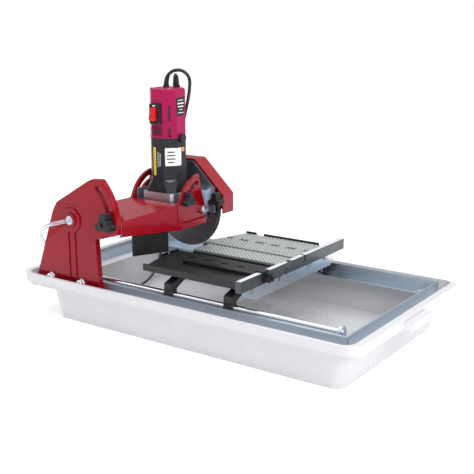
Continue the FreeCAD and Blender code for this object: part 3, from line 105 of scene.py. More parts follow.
def finish(name, tone, worn, rough, metal=0.0, coat=0.0, grain=120.0, bump=0.15,
           stretch=(1, 1, 1), patch=14.0, depth=0.0002, edge=0.0008, wear=0.35,
           shine=0.5, glint=(1, 1, 1)):
    """A material with colour patches, fine grain and eased edges, filed by name.

    The mix of grain and patches runs the colour from tone to worn and the roughness
    between the two values of rough.
    """
    made = bpy.data.materials.new(name)
    FINISHES[name] = made
    made.use_nodes = True
    tree = made.node_tree
    shader = tree.nodes["Principled BSDF"]
    shader.inputs["Metallic"].default_value = metal
    shader.inputs["Coat Weight"].default_value = coat
    shader.inputs["Coat Roughness"].default_value = 0.06
    shader.inputs["Specular IOR Level"].default_value = shine
    shader.inputs["Specular Tint"].default_value = (*glint, 1)
    where = tree.nodes.new("ShaderNodeTexCoord").outputs["Object"]
    mapping = tree.nodes.new("ShaderNodeMapping")
    mapping.inputs["Scale"].default_value = stretch
    link(tree, where, mapping.inputs["Vector"])
    fine = noise(tree, mapping.outputs["Vector"], grain)
    broad = noise(tree, where, patch, detail=5.0)
    mixed = tree.nodes.new("ShaderNodeMath")
    mixed.operation = "MULTIPLY_ADD"
    mixed.inputs[1].default_value = wear
    link(tree, fine, mixed.inputs[0])
    scaled = remap(tree, broad, 0, 1 - wear, 0.35, 0.65)
    link(tree, scaled, mixed.inputs[2])
    link(tree, two_tone(tree, mixed.outputs[0], tone, worn), shader.inputs["Base Color"])
    link(tree, remap(tree, mixed.outputs[0], *rough), shader.inputs["Roughness"])
    relief = tree.nodes.new("ShaderNodeBump")
    relief.inputs["Strength"].default_value = bump
    relief.inputs["Distance"].default_value = depth
    link(tree, fine, relief.inputs["Height"])
    if edge:
        eased = tree.nodes.new("ShaderNodeBevel")
        eased.samples = 4
        eased.inputs["Radius"].default_value = edge
        link(tree, eased.outputs["Normal"], relief.inputs["Normal"])
    link(tree, relief.outputs["Normal"], shader.inputs["Normal"])
    return made


def clear_finish(name):
    """Clear flexible vinyl, a little cloudy."""
    made = finish(name, (0.86, 0.91, 0.93), (0.78, 0.84, 0.88), (0.08, 0.16), edge=0)
    shader = made.node_tree.nodes["Principled BSDF"]
    shader.inputs["Transmission Weight"].default_value = 0.75
    shader.inputs["IOR"].default_value = 1.42
    return made


finish("tray_white", (0.66, 0.66, 0.675), (0.64, 0.64, 0.658), (0.26, 0.30), coat=0.2,
       grain=420, bump=0.06, patch=5, edge=0.002)
finish("zinc_steel", (0.66, 0.74, 0.82), (0.58, 0.66, 0.75), (0.30, 0.38), metal=1,
       grain=260, bump=0.04, patch=9)
finish("chrome_rail", (0.88, 0.90, 0.93), (0.80, 0.83, 0.88), (0.07, 0.12), metal=1,
       grain=160, bump=0.02, stretch=(0.05, 1, 1))
finish("red_paint", (0.31, 0.0008, 0.008), (0.23, 0.0006, 0.006), (0.18, 0.26), coat=0.25,
       grain=260, bump=0.1, patch=7, edge=0.0018, shine=0.34, glint=(1.0, 0.28, 0.42))
finish("magenta_plastic", (0.40, 0.004, 0.075), (0.31, 0.003, 0.055), (0.26, 0.36),
       coat=0.1, grain=700, bump=0.15, edge=0.0015, shine=0.4, glint=(1.0, 0.35, 0.65))
finish("black_plastic", (0.006, 0.007, 0.009), (0.014, 0.016, 0.020), (0.34, 0.48),
       grain=900, bump=0.25, shine=0.35)
finish("red_plastic", (0.62, 0.004, 0.006), (0.50, 0.003, 0.005), (0.22, 0.34), coat=0.2,
       grain=500, shine=0.4, glint=(1.0, 0.5, 0.5))
finish("cast_aluminium", (0.70, 0.72, 0.75), (0.60, 0.62, 0.65), (0.34, 0.5), metal=1,
       grain=650, bump=0.35)
finish("black_paint", (0.008, 0.009, 0.010), (0.016, 0.017, 0.019), (0.28, 0.42), coat=0.1,
       grain=600, bump=0.2, shine=0.35)
finish("grey_fence", (0.045, 0.048, 0.055), (0.08, 0.085, 0.095), (0.26, 0.38), metal=0.3,
       coat=0.2, grain=240, bump=0.08, patch=6)
finish("mat_rubber", (0.010, 0.011, 0.012), (0.022, 0.023, 0.025), (0.28, 0.44), grain=800,
       bump=0.3, edge=0.0003, shine=0.4)
finish("black_rubber", (0.007, 0.007, 0.008), (0.015, 0.015, 0.016), (0.42, 0.56),
       grain=700, bump=0.3, shine=0.35)
clear_finish("clear_vinyl")
finish("steel", (0.56, 0.57, 0.60), (0.44, 0.45, 0.48), (0.22, 0.36), metal=1, grain=500,
       bump=0.08)
finish("blade_steel", (0.20, 0.21, 0.23), (0.13, 0.135, 0.15), (0.26, 0.38), metal=1,
       grain=220, bump=0.06)
finish("bronze", (0.55, 0.38, 0.18), (0.42, 0.28, 0.12), (0.3, 0.45), metal=1, grain=300)
# painted glare: the far and middle mats are black rubber like the near one; these two greys
# paint the sheen their ribs and grooves show at this low angle
finish("mat_pale", (0.64, 0.67, 0.66), (0.55, 0.58, 0.57), (0.24, 0.36), coat=0.3,
       grain=800, bump=0.2, edge=0.0003)
finish("mat_groove", (0.26, 0.28, 0.28), (0.20, 0.215, 0.215), (0.3, 0.42), coat=0.2,
       grain=800, bump=0.2, edge=0.0003)
# painted highlight: the fence's zinc scale strip painted near white for the light its top
# catches
finish("bright_top", (0.84, 0.86, 0.88), (0.76, 0.78, 0.80), (0.2, 0.34), metal=0.15,
       grain=300, bump=0.05)
# painted shade: near-black for the shade inside the mats' holes, the cover's vents and slots and
# the screws' cross recesses
finish("slot_dark", (0.006, 0.003, 0.004), (0.012, 0.005, 0.007), (0.5, 0.6), edge=0)
finish("label_white", (0.86, 0.86, 0.85), (0.80, 0.80, 0.79), (0.3, 0.4), coat=0.3, edge=0)
finish("label_yellow", (0.80, 0.66, 0.02), (0.72, 0.58, 0.02), (0.3, 0.4), coat=0.3, edge=0)
finish("label_orange", (0.86, 0.30, 0.03), (0.78, 0.26, 0.03), (0.3, 0.4), coat=0.3, edge=0)
# painted highlight: grey for the bright chevron that the housing's V chamfer shows
finish("vee_grey", (0.16, 0.20, 0.22), (0.12, 0.15, 0.17), (0.3, 0.4))
finish("rim_grit", (0.16, 0.165, 0.17), (0.10, 0.10, 0.105), (0.45, 0.6), metal=0.8,
       grain=1500, bump=0.6)
finish("cord_skin", (0.010, 0.010, 0.011), (0.018, 0.018, 0.02), (0.3, 0.42), grain=900,
       bump=0.12, edge=0)

slot_of = {}
for entry in frame["record"]["materials"]:
    for name in entry.get("nodes", []):
        slot_of[name] = entry["slot"]


def dress(thing, material):
    """Gives a piece one material."""
    thing.data.materials.clear()
    thing.data.materials.append(FINISHES[material])


# The far and middle mats' own surface shows as the grooves between their ribs, in a mid grey
# that is painted glare on black rubber.
REPAINTED = {"mat_far": "mat_groove", "mat_middle": "mat_groove"}
for name, thing in nodes.items():
    imported = thing.data.materials[0].name.split(".")[0] if thing.data.materials else ""
    kept = slot_of.get(name, imported if imported in FINISHES else "steel")
    dress(thing, REPAINTED.get(name, kept))

# ---- building helpers ----------------------------------------------------------

MOTOR_MIDDLE = (-152, -27)


def add_object(name, data):
    """Puts new data in the scene as an object."""
    thing = bpy.data.objects.new(name, data)
    bpy.context.scene.collection.objects.link(thing)
    return thing


def box_mm(name):
    """The low and high corners of a CAD node's box."""
    low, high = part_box(name)
    return low / MM, high / MM


def spot_on(place, x, y, z):
    """A point given in a frame's own millimetres."""
    return place @ Vector((x * MM, y * MM, z * MM))


def local_frame(spot, right, up):
    """A matrix whose X runs along right and Y along up, from a point in mm."""
    right, up = Vector(right).normalized(), Vector(up).normalized()
    out = right.cross(up)
    place = Matrix((right, up, out)).transposed().to_4x4()
    place.translation = Vector(spot) * MM
    return place


def facet(turn, height, out, across=0.0):
    """The frame on a motor facet: turn is 0 on the near side and 90 on the right."""
    angle = math.radians(turn)
    right = Vector((math.cos(angle), math.sin(angle), 0))
    away = Vector((math.sin(angle), -math.cos(angle), 0))
    spot = Vector((*MOTOR_MIDDLE, height)) + away * out + right * across
    return local_frame(spot, right, (0, 0, 1))


def lid(spot):
    """A frame facing straight up at a point in mm."""
    return local_frame(spot, (1, 0, 0), (0, 1, 0))


def slab(shape, place, width, height, thick, corner=0.4, low=0.0, ease=0.25, spin=0.0):
    """A plate with round corners and an eased top edge, standing on a frame's plane."""
    turned = place @ Matrix.Rotation(math.radians(spin), 4, "Z")
    levels = [(low, 0.0), (low + thick - ease, 0.0), (low + thick, ease)]
    corners = [(1, 1, 0), (-1, 1, 90), (-1, -1, 180), (1, -1, 270)]
    rings = []
    for rise, inset in levels:
        ring = []
        for sx, sy, begin in corners:
            for k in range(4):
                a = math.radians(begin + 30 * k)
                reach = max(corner - inset, 0.02)
                x = sx * (width / 2 - corner) + reach * math.cos(a)
                y = sy * (height / 2 - corner) + reach * math.sin(a)
                ring.append(shape.verts.new(spot_on(turned, x, y, rise)))
        rings.append(ring)
    stitch(shape, rings)


def stitch(shape, rings, capped=True):
    """Faces between neighbouring rings, and over both ends."""
    for under, over in zip(rings, rings[1:]):
        count = len(under)
        for k in range(count):
            after = (k + 1) % count
            shape.faces.new((under[k], under[after], over[after], over[k]))
    if capped:
        shape.faces.new(rings[0][::-1])
        shape.faces.new(rings[-1])


def hexagon(angle):
    """How far a hexagon's side is at an angle, over its half flat."""
    third = math.pi / 3
    return 1 / math.cos((angle + third / 2) % third - third / 2)


def turned_part(shape, place, profile, steps=28, closed=False):
    """A lathe part round a frame's Z. Its profile holds radius, height and, for a hexagon, True.

    A closed profile joins its last ring to its first.
    """
    rings = []
    for radius, rise, *flats in profile:
        ring = []
        for k in range(steps):
            a = 2 * math.pi * k / steps
            reach = radius * (hexagon(a) if flats else 1)
            ring.append(shape.verts.new(spot_on(place, reach * math.cos(a),
                                                reach * math.sin(a), rise)))
        rings.append(ring)
    stitch(shape, rings + rings[:1] if closed else rings, capped=not closed)


def socket_dome(shape, place, radius, height, socket):
    """A domed screw head with a hexagon socket."""
    turned_part(shape, place, [
        (radius * 0.98, 0), (radius, height * 0.18), (radius * 0.93, height * 0.48),
        (radius * 0.76, height * 0.78), (radius * 0.55, height * 0.95),
        (socket * 1.25, height), (socket, height, True), (socket * 0.98, height * 0.3, True),
        (socket * 0.3, height * 0.22, True)])


def cross_screw(shape, crosses, place, radius, height):
    """A pan head with a cross recess, whose near-black cross, painted shade in the recess, goes
    to its own mesh.
    """
    turned_part(shape, place, [(radius, 0), (radius, height * 0.4),
                               (radius * 0.8, height * 0.85), (radius * 0.5, height)])
    for spin in (20, 110):
        slab(crosses, place, radius * 1.05, radius * 0.24, 0.08, corner=0.1, low=height,
             ease=0.03, spin=spin)


def finish_piece(name, shape, body, slot, material=None, smooth=40):
    """Turns a shape into a piece that rides on a body."""
    bmesh.ops.recalc_face_normals(shape, faces=shape.faces)
    mesh = bpy.data.meshes.new(name)
    shape.to_mesh(mesh)
    shape.free()
    thing = add_object(name, mesh)
    for face in mesh.polygons:
        face.use_smooth = True
    mesh.set_sharp_from_angle(angle=math.radians(smooth))
    return settle(thing, body, slot, material)


def settle(thing, body, slot, material=None):
    """Gives a piece its finish, the slot's when no other is named, riding on its body."""
    dress(thing, material or slot)
    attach(thing, body)
    return thing


# ---- camera, floor and light ---------------------------------------------------

CAMERA_SPOT = (1.00935, -1.44472, 0.625)
CAMERA_TURN, CAMERA_DIP = math.radians(34.85), math.radians(14.2)
FOCAL_LENGTH, SENSOR_WIDTH = 67.08, 36
FLOOR_HALF = 150
FLOOR_GLOW = 0.28


def make_camera():
    """The camera, turned left and dipped from the direction of Y."""
    lens = bpy.data.cameras.new("camera")
    lens.lens = FOCAL_LENGTH
    lens.sensor_width = SENSOR_WIDTH
    camera = add_object("camera", lens)
    camera.location = CAMERA_SPOT
    level = math.cos(CAMERA_DIP)
    ahead = Vector((-math.sin(CAMERA_TURN) * level, math.cos(CAMERA_TURN) * level,
                    -math.sin(CAMERA_DIP)))
    camera.rotation_euler = ahead.to_track_quat("-Z", "Y").to_euler()
    bpy.context.scene.camera = camera


def make_floor():
    """A wide white floor that glows a little, so that it meets the background."""
    mesh = bpy.data.meshes.new("floor")
    shape = bmesh.new()
    bmesh.ops.create_grid(shape, x_segments=8, y_segments=8, size=FLOOR_HALF)
    shape.to_mesh(mesh)
    shape.free()
    floor = add_object("floor", mesh)
    paint = finish("floor_paint", (0.93, 0.93, 0.935), (0.91, 0.91, 0.915),
                   (0.55, 0.65), grain=4, bump=0.0, patch=1.5, edge=0)
    glow = paint.node_tree.nodes["Principled BSDF"]
    glow.inputs["Emission Color"].default_value = (1, 1, 1, 1)
    glow.inputs["Emission Strength"].default_value = FLOOR_GLOW
    floor.data.materials.append(paint)


def area_light(name, spot, aim, size, power):
    """A white rectangular lamp facing a point."""
    lamp = bpy.data.lights.new(name, "AREA")
    lamp.shape = "RECTANGLE"
    lamp.size, lamp.size_y = size
    lamp.energy = power
    thing = add_object(name, lamp)
    thing.location = spot
    thing.rotation_euler = (Vector(aim) - Vector(spot)).to_track_quat("-Z", "Y").to_euler()


def make_world():
    """A white studio: bright overhead, dim round the sides, and plain white to the eye."""
    world = bpy.data.worlds.new("studio")
    world.use_nodes = True
    tree = world.node_tree
    seen = tree.nodes["Background"]
    seen.inputs["Color"].default_value = (1, 1, 1, 1)
    seen.inputs["Strength"].default_value = 1.0
    shining = tree.nodes.new("ShaderNodeBackground")
    shining.inputs["Strength"].default_value = 1.0
    where = tree.nodes.new("ShaderNodeTexCoord")
    split = tree.nodes.new("ShaderNodeSeparateXYZ")
    link(tree, where.outputs["Generated"], split.inputs["Vector"])
    ramp = tree.nodes.new("ShaderNodeValToRGB")
    # brightness from straight down at 0 to straight up at 1
    stops = [(0.0, 0.5), (0.5, 0.30), (0.6, 0.24), (0.78, 0.9), (1.0, 1.2)]
    while len(ramp.color_ramp.elements) < len(stops):
        ramp.color_ramp.elements.new(0.5)
    for element, (spot, bright) in zip(ramp.color_ramp.elements, stops):
        element.position = spot
        element.color = (bright, bright, bright * 1.02, 1)
    link(tree, remap(tree, split.outputs["Z"], 0, 1, -1, 1), ramp.inputs["Fac"])
    link(tree, ramp.outputs["Color"], shining.inputs["Color"])
    rays = tree.nodes.new("ShaderNodeLightPath")
    mix = tree.nodes.new("ShaderNodeMixShader")
    link(tree, rays.outputs["Is Camera Ray"], mix.inputs["Fac"])
    link(tree, shining.outputs["Background"], mix.inputs[1])
    link(tree, seen.outputs["Background"], mix.inputs[2])
    link(tree, mix.outputs["Shader"], tree.nodes["World Output"].inputs["Surface"])
    bpy.context.scene.world = world
    bpy.context.scene.view_settings.view_transform = "Standard"


def make_lights():
    """A broad lamp overhead, a key from the right and a weak fill from the left."""
    area_light("overhead", (0.1, 0.3, 2.6), (0, 0, 0.1), size=(2.6, 2.2), power=26)
    area_light("key", (2.2, -0.9, 1.5), (-0.1, 0, 0.2), size=(1.2, 1.0), power=30)
    area_light("fill", (-1.9, -1.3, 1.2), (-0.1, 0, 0.15), size=(0.9, 1.2), power=3)


make_world()
make_camera()
make_floor()
make_lights()

# ---- cords ---------------------------------------------------------------------

CORD, PUMP_CORD, HOSE = 0.007, 0.0055, 0.008
WATER_TUBE = [
    (-258, -216, 221), (-258, -228, 221), (-264, -239, 220), (-275.5, -245.5, 217),
    (-291, -247, 211), (-308, -243, 202), (-324, -234, 191), (-338, -220, 177),
    (-347, -203, 160), (-351, -187, 141), (-349, -175, 121), (-341, -164, 106),
    (-328, -156, 93), (-311.6, -149.5, 77.8), (-302.6, -148, 68.3), (-299, -148, 59.5),
    (-299, -148, 50)]
MAINS_HEAD = [
    (-165, -14, 479), (-165, -14, 498), (-153.3, -5.8, 512.4), (-136.7, 5.8, 512.4),
    (-125, 14, 498), (-126, 15, 475), (-132, 15, 447), (-142, 14.2, 412),
    (-150, 14.8, 372), (-158, 15, 332), (-169, 16, 297), (-181.5, 18.5, 261),
    (-191, 19.5, 242.4), (-203, 19.5, 235), (-216.5, 19.5, 235)]
PUMP_HEAD = [
    (-146, -2, 479), (-146, -2, 492.7), (-153.3, 4.4, 502.4), (-163.7, 13.6, 502.4),
    (-171, 20, 492.7), (-172, 20, 468), (-170, 17, 430), (-169, 14.5, 385),
    (-172, 14, 342), (-179, 14, 304), (-192, 16, 268), (-195, 14.5, 251),
    (-204, 14, 243.5), (-216.5, 14, 243.5)]
MAINS_ARM = [(-217, 19.5, 235), (-241, 19.5, 235), (-262.6, 32, 233.5),
             (-275, 53.5, 229.5), (-275, 73.5, 229.5)]
PUMP_ARM = [(-217, 14, 243.5), (-244.2, 14, 243.5), (-268.8, 28.5, 242),
            (-283, 53.8, 239), (-283, 73.5, 239)]
MAINS_BASE = [
    (-275, 74, 229.5), (-275, 95, 229.5), (-277, 119, 222), (-280, 147, 200),
    (-284, 176, 170), (-288, 207, 139), (-291, 237, 106), (-295, 261, 71),
    (-296, 279, 38), (-293, 300, 14), (-280, 320, 5), (-258, 331, 3.8)]
PUMP_BASE = [
    (-283, 74, 239), (-283, 90, 239), (-288, 107, 232), (-299, 125, 214),
    (-312, 142, 190), (-321, 152, 160), (-325, 156, 128), (-324, 153, 97),
    (-320, 143, 68), (-314, 125, 42), (-309, 99, 22), (-305, 66, 11),
    (-303, 28, 8.5), (-301.5, -12, 9), (-301, -46, 13), (-301, -72, 19),
    (-301, -90, 20), (-301, -109, 20)]
COIL_MIDDLE, COIL_RADIUS = (-200, 372), 40
COIL_STEPS = 16
# each turn's place in the coil's section: outward from the radius, and height
COIL_LAYERS = ((-3.6, 3.7), (3.6, 3.7), (-3.6, 10.6), (3.6, 10.6))
# where in a turn the cord crosses to its next layer, and over how much of the turn
CROSSING_START, CROSSING_LONG = 0.35, 0.4


def coil_points():
    """The turns from the ring's lowest Y round and back to it, side by side and stacked."""
    last = len(COIL_LAYERS) - 1
    points = []
    for i in range(len(COIL_LAYERS) * COIL_STEPS + 1):
        turn = i / COIL_STEPS
        lower = min(int(turn), last)
        upper = min(lower + 1, last)
        share = min(max((turn - lower - CROSSING_START) / CROSSING_LONG, 0), 1)
        share = share * share * (3 - 2 * share)
        out, high = (low * (1 - share) + top * share
                     for low, top in zip(COIL_LAYERS[lower], COIL_LAYERS[upper]))
        angle = -math.pi / 2 + 2 * math.pi * turn
        reach = COIL_RADIUS + out
        points.append((COIL_MIDDLE[0] + reach * math.cos(angle),
                       COIL_MIDDLE[1] + reach * math.sin(angle), high))
    return points


def spline_curve(name, route, radius=0.0):
    """A NURBS curve whose control points are the route's points."""
    curve = bpy.data.curves.new(name, "CURVE")
    curve.dimensions = "3D"
    curve.resolution_u = 12
    curve.bevel_depth = radius
    curve.bevel_resolution = 5
    curve.use_fill_caps = True
    line = curve.splines.new("NURBS")
    line.points.add(len(route) - 1)
    for point, (x, y, z) in zip(line.points, route):
        point.co = (x * MM, y * MM, z * MM, 1)
    line.order_u = 3
    line.use_endpoint_u = True
    line.resolution_u = 12
    return bpy.data.objects.new(name, curve)


def spline_line(route):
    """The points of the route's smooth line, in metres."""
    bare = spline_curve("bare_line", route)
    mesh = bpy.data.meshes.new_from_object(bare)
    line = [vertex.co.copy() for vertex in mesh.vertices]
    bpy.data.meshes.remove(mesh)
    bpy.data.objects.remove(bare)
    return line


def line_length(line):
    """The length of a line of points."""
    return sum((b - a).length for a, b in zip(line, line[1:]))


def tube_mesh(name, line, radius, sides=14):
    """A closed tube along a line, its sections carried along without twist."""
    shape = bmesh.new()
    ahead = (line[1] - line[0]).normalized()
    side = ahead.orthogonal().normalized()
    rings = []
    for i, spot in enumerate(line):
        before, after = line[max(i - 1, 0)], line[min(i + 1, len(line) - 1)]
        turned = (after - before).normalized()
        side = (side - turned * side.dot(turned)).normalized()
        up = turned.cross(side)
        size = radius(i / (len(line) - 1)) if callable(radius) else radius
        rings.append([shape.verts.new(spot + (side * math.cos(a) + up * math.sin(a)) * size)
                      for a in (2 * math.pi * k / sides for k in range(sides))])
    stitch(shape, rings)
    mesh = bpy.data.meshes.new(name)
    shape.to_mesh(mesh)
    shape.free()
    for face in mesh.polygons:
        face.use_smooth = len(face.vertices) == 4
    return add_object(name, mesh)


def riding_cord(name, route, diameter, body, slot="black_rubber", material="cord_skin",
                **facts):
    """A cord that rides on one body, with its spline as its own line."""
    thing = spline_curve(name, route, diameter / 2)
    bpy.context.scene.collection.objects.link(thing)
    settle(thing, body, slot, material)
    line_length(spline_line(route))
    facts.pop("far_end", "object")
    return thing


def bending_cord(name, route, diameter, bodies, start, end, **facts):
    """A cord's mesh tube along the route, fixed in the world and riding on no body."""
    line = spline_line(route)
    thing = tube_mesh(name, line, diameter / 2)
    dress(thing, "cord_skin")
    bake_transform(thing)
    facts.pop("far_end", "object")
    return thing


# ---- mats and table ------------------------------------------------------------


def inside(spot, corners):
    """Whether a flat point lies in a polygon."""
    x, y = spot
    hit = False
    for (ax, ay), (bx, by) in zip(corners, corners[1:] + corners[:1]):
        if (ay > y) != (by > y) and x < (bx - ax) * (y - ay) / (by - ay) + ax:
            hit = not hit
    return hit


TABLE_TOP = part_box("mat_far")[1].z / MM
RIB_WIDE, RIB_LONG, RIB_TALL, RIB_SLANT = 2.0, 8.6, 0.7, 24
RIB_SUNK = 0.2
RIB_COLUMN_PITCH, RIB_PITCH, RIB_STAGGER = 5.2, 9.6, 4.0
RIB_HALF_X, RIB_HALF_Y = 2.4, 4.6
MAT_MARGIN, MAT_FAR_MARGIN = 5, 3
HOLE_PITCH, HOLE_CLEAR_X, HOLE_CLEAR_Y = 40, 12.5, 7.6
HOLE_WIDE, HOLE_TALL, HOLE_SHADE_DROP, HOLE_SHADE_THICK = 19.6, 5.6, 4, 0.3


def rib_mat(name, node, corners, holes, material):
    """Columns of short slanted ribs over a mat, clear of its edges and its holes."""
    shape = bmesh.new()
    low, high = box_mm(node)
    column = low.x + MAT_MARGIN
    count = 0
    while column < high.x - MAT_FAR_MARGIN:
        y = low.y + MAT_MARGIN + (count % 2) * RIB_STAGGER
        while y < high.y - MAT_FAR_MARGIN:
            ends = [(column + sx * RIB_HALF_X, y + sy * RIB_HALF_Y)
                    for sx in (-1, 1) for sy in (-1, 1)]
            on_mat = all(inside(end, corners) for end in ends)
            off_holes = all(abs(column - hx) > HOLE_CLEAR_X or abs(y - hy) > HOLE_CLEAR_Y
                            for hx, hy in holes)
            if on_mat and off_holes:
                slab(shape, lid((column, y, TABLE_TOP)), RIB_WIDE, RIB_LONG, RIB_TALL,
                     corner=0.9, low=-RIB_SUNK, spin=RIB_SLANT)
            y += RIB_PITCH
        column += RIB_COLUMN_PITCH
        count += 1
    return finish_piece(name, shape, "cart", "mat_rubber", material)


def hole_places(first, y, count):
    """The middles of a row of holes along X."""
    return [(first + HOLE_PITCH * i, y) for i in range(count)]


def make_table_looks():
    """The three mats' ribs, pale on the far and middle mats as painted glare, and near-black
    sheets in their holes as painted shade.
    """
    low, high = box_mm("mat_far")
    far = [(low.x, low.y), (high.x, low.y), (high.x, high.y), (low.x + 30, high.y),
           (low.x, high.y - 94)]
    far_holes = hole_places(low.x + 22, high.y - 56, 6)
    # the far and middle ribs get the pale painted glare
    rib_mat("ribs_far", "mat_far", far, far_holes, "mat_pale")
    low, high = box_mm("mat_middle")
    middle = [(low.x, low.y), (high.x, low.y), (high.x, high.y), (low.x, high.y)]
    rib_mat("ribs_middle", "mat_middle", middle, [], "mat_pale")
    low, high = box_mm("mat_near")
    near = [(low.x + 17, low.y), (high.x, low.y), (high.x, high.y), (low.x, high.y),
            (low.x, low.y + 70)]
    near_holes = hole_places(low.x + 55, high.y - 29, 4)
    # the holes' dark insides are painted shade: thin near-black sheets a little below the top
    shade_sheets = bmesh.new()
    for x, y in far_holes + near_holes:
        slab(shade_sheets, lid((x, y, TABLE_TOP - HOLE_SHADE_DROP)), HOLE_WIDE, HOLE_TALL,
             HOLE_SHADE_THICK, corner=0.3, ease=0.1)
    finish_piece("hole_floors", shade_sheets, "cart", "mat_rubber", "slot_dark")
    rib_mat("ribs_near", "mat_near", near, near_holes, "mat_rubber")


# the stretches of Y where the fence's top is cut away
MITRE_CUT, BLADE_SLOT = (-29, -11), (32.5, 38.5)
STRIP_THICK = 0.2
MARK_PITCH, MARK_WIDE, SHORT_MARK, LONG_MARK = 5, 0.5, 3.4, 6.0


def make_fence_looks():
    """A zinc scale strip along the fence's top, painted near white as a painted highlight, with
    plain tick marks.
    """
    low, high = box_mm("fence")
    middle = (low.x + high.x) / 2
    strip = bmesh.new()
    marks = bmesh.new()
    pieces = [(low.y + 1, MITRE_CUT[0]), (MITRE_CUT[1], BLADE_SLOT[0]),
              (BLADE_SLOT[1], high.y - 1)]
    for begin, end in pieces:
        slab(strip, lid((middle, (begin + end) / 2, high.z)), high.x - low.x - 1.4,
             end - begin, STRIP_THICK, corner=0.5, ease=0.08)
        for i in range(int((end - begin) // MARK_PITCH)):
            y = begin + MARK_PITCH / 2 + MARK_PITCH * i
            reach = SHORT_MARK if i % 5 else LONG_MARK
            slab(marks, lid((middle - 4.6 + reach / 2, y, high.z + STRIP_THICK)), reach,
                 MARK_WIDE, 0.06, corner=0.1, ease=0.02)
    # the strip's near-white finish is a painted highlight on zinc
    finish_piece("fence_scale", strip, "cart", "zinc_steel", "bright_top")
    finish_piece("fence_marks", marks, "cart", "black_paint")


# ---- motor ---------------------------------------------------------------------

# how far the eight flat sides stand out from the motor's middle
COVER_OUT, HOUSING_OUT = 35, 35
COVER_TOP, SEAM_HEIGHT, SEAM_TALL = 478, 376.2, 1.6
CORNER_TURNS = (45, 135, 225, 315)
VENT_HEIGHT, VENT_PITCH, VENTS = 394, 4.4, 6
VENT_START, LIP_START = -11, -12.6
COVER_SCREW_REACH = 27.5


def make_motor_looks():
    """Vents, long slots, screws and the seam of the motor's cover; the vents, slots and screw
    crosses are near-black sheets of painted shade.
    """
    dark, lips, crosses, screws = bmesh.new(), bmesh.new(), bmesh.new(), bmesh.new()
    for turn, lip_count in ((0, VENTS + 1), (180, VENTS), (270, VENTS)):
        for i in range(VENTS):
            slab(dark, facet(turn, VENT_HEIGHT, COVER_OUT, VENT_START + VENT_PITCH * i), 1.9,
                 18, 0.15, corner=0.8, ease=0.05)
        for i in range(lip_count):
            slab(lips, facet(turn, VENT_HEIGHT, COVER_OUT, LIP_START + VENT_PITCH * i), 1.0,
                 19, 0.9, corner=0.4)
    for turn in CORNER_TURNS:
        for height, tall in ((429, 30), (391, 15)):
            slab(dark, facet(turn, height, COVER_OUT), 3.2, tall, 0.15, corner=1.5,
                 ease=0.05)
            slab(lips, facet(turn, height, COVER_OUT, -2.3), 0.8, tall, 0.6, corner=0.3)
    for turn in CORNER_TURNS:
        angle = math.radians(turn)
        spot = (MOTOR_MIDDLE[0] + COVER_SCREW_REACH * math.sin(angle),
                MOTOR_MIDDLE[1] - COVER_SCREW_REACH * math.cos(angle), COVER_TOP)
        cross_screw(screws, crosses, lid(spot), 2.6, 1.2)
    # the slots and the screws' crosses are thin near-black sheets, painted shade for the dark
    # inside them
    finish_piece("cover_slots", dark, "head", "black_plastic", "slot_dark")
    finish_piece("cover_lips", lips, "head", "magenta_plastic")
    finish_piece("cover_screws", screws, "head", "steel")
    finish_piece("cover_screw_crosses", crosses, "head", "black_paint", "slot_dark")
    seam = bmesh.new()
    eighth = math.pi / 8
    ring = local_frame((*MOTOR_MIDDLE, SEAM_HEIGHT), (math.cos(eighth), math.sin(eighth), 0),
                       (-math.sin(eighth), math.cos(eighth), 0))
    reach = (COVER_OUT + 0.25) / math.cos(eighth)
    turned_part(seam, ring, [(reach - 2, 0), (reach, 0), (reach, SEAM_TALL),
                             (reach - 2, SEAM_TALL)], steps=8)
    finish_piece("cover_seam", seam, "head", "black_plastic", smooth=20)


LABEL_THICK = 0.5
WHITE_LABEL_HEIGHT, YELLOW_LABEL_ACROSS = 340, -7.5


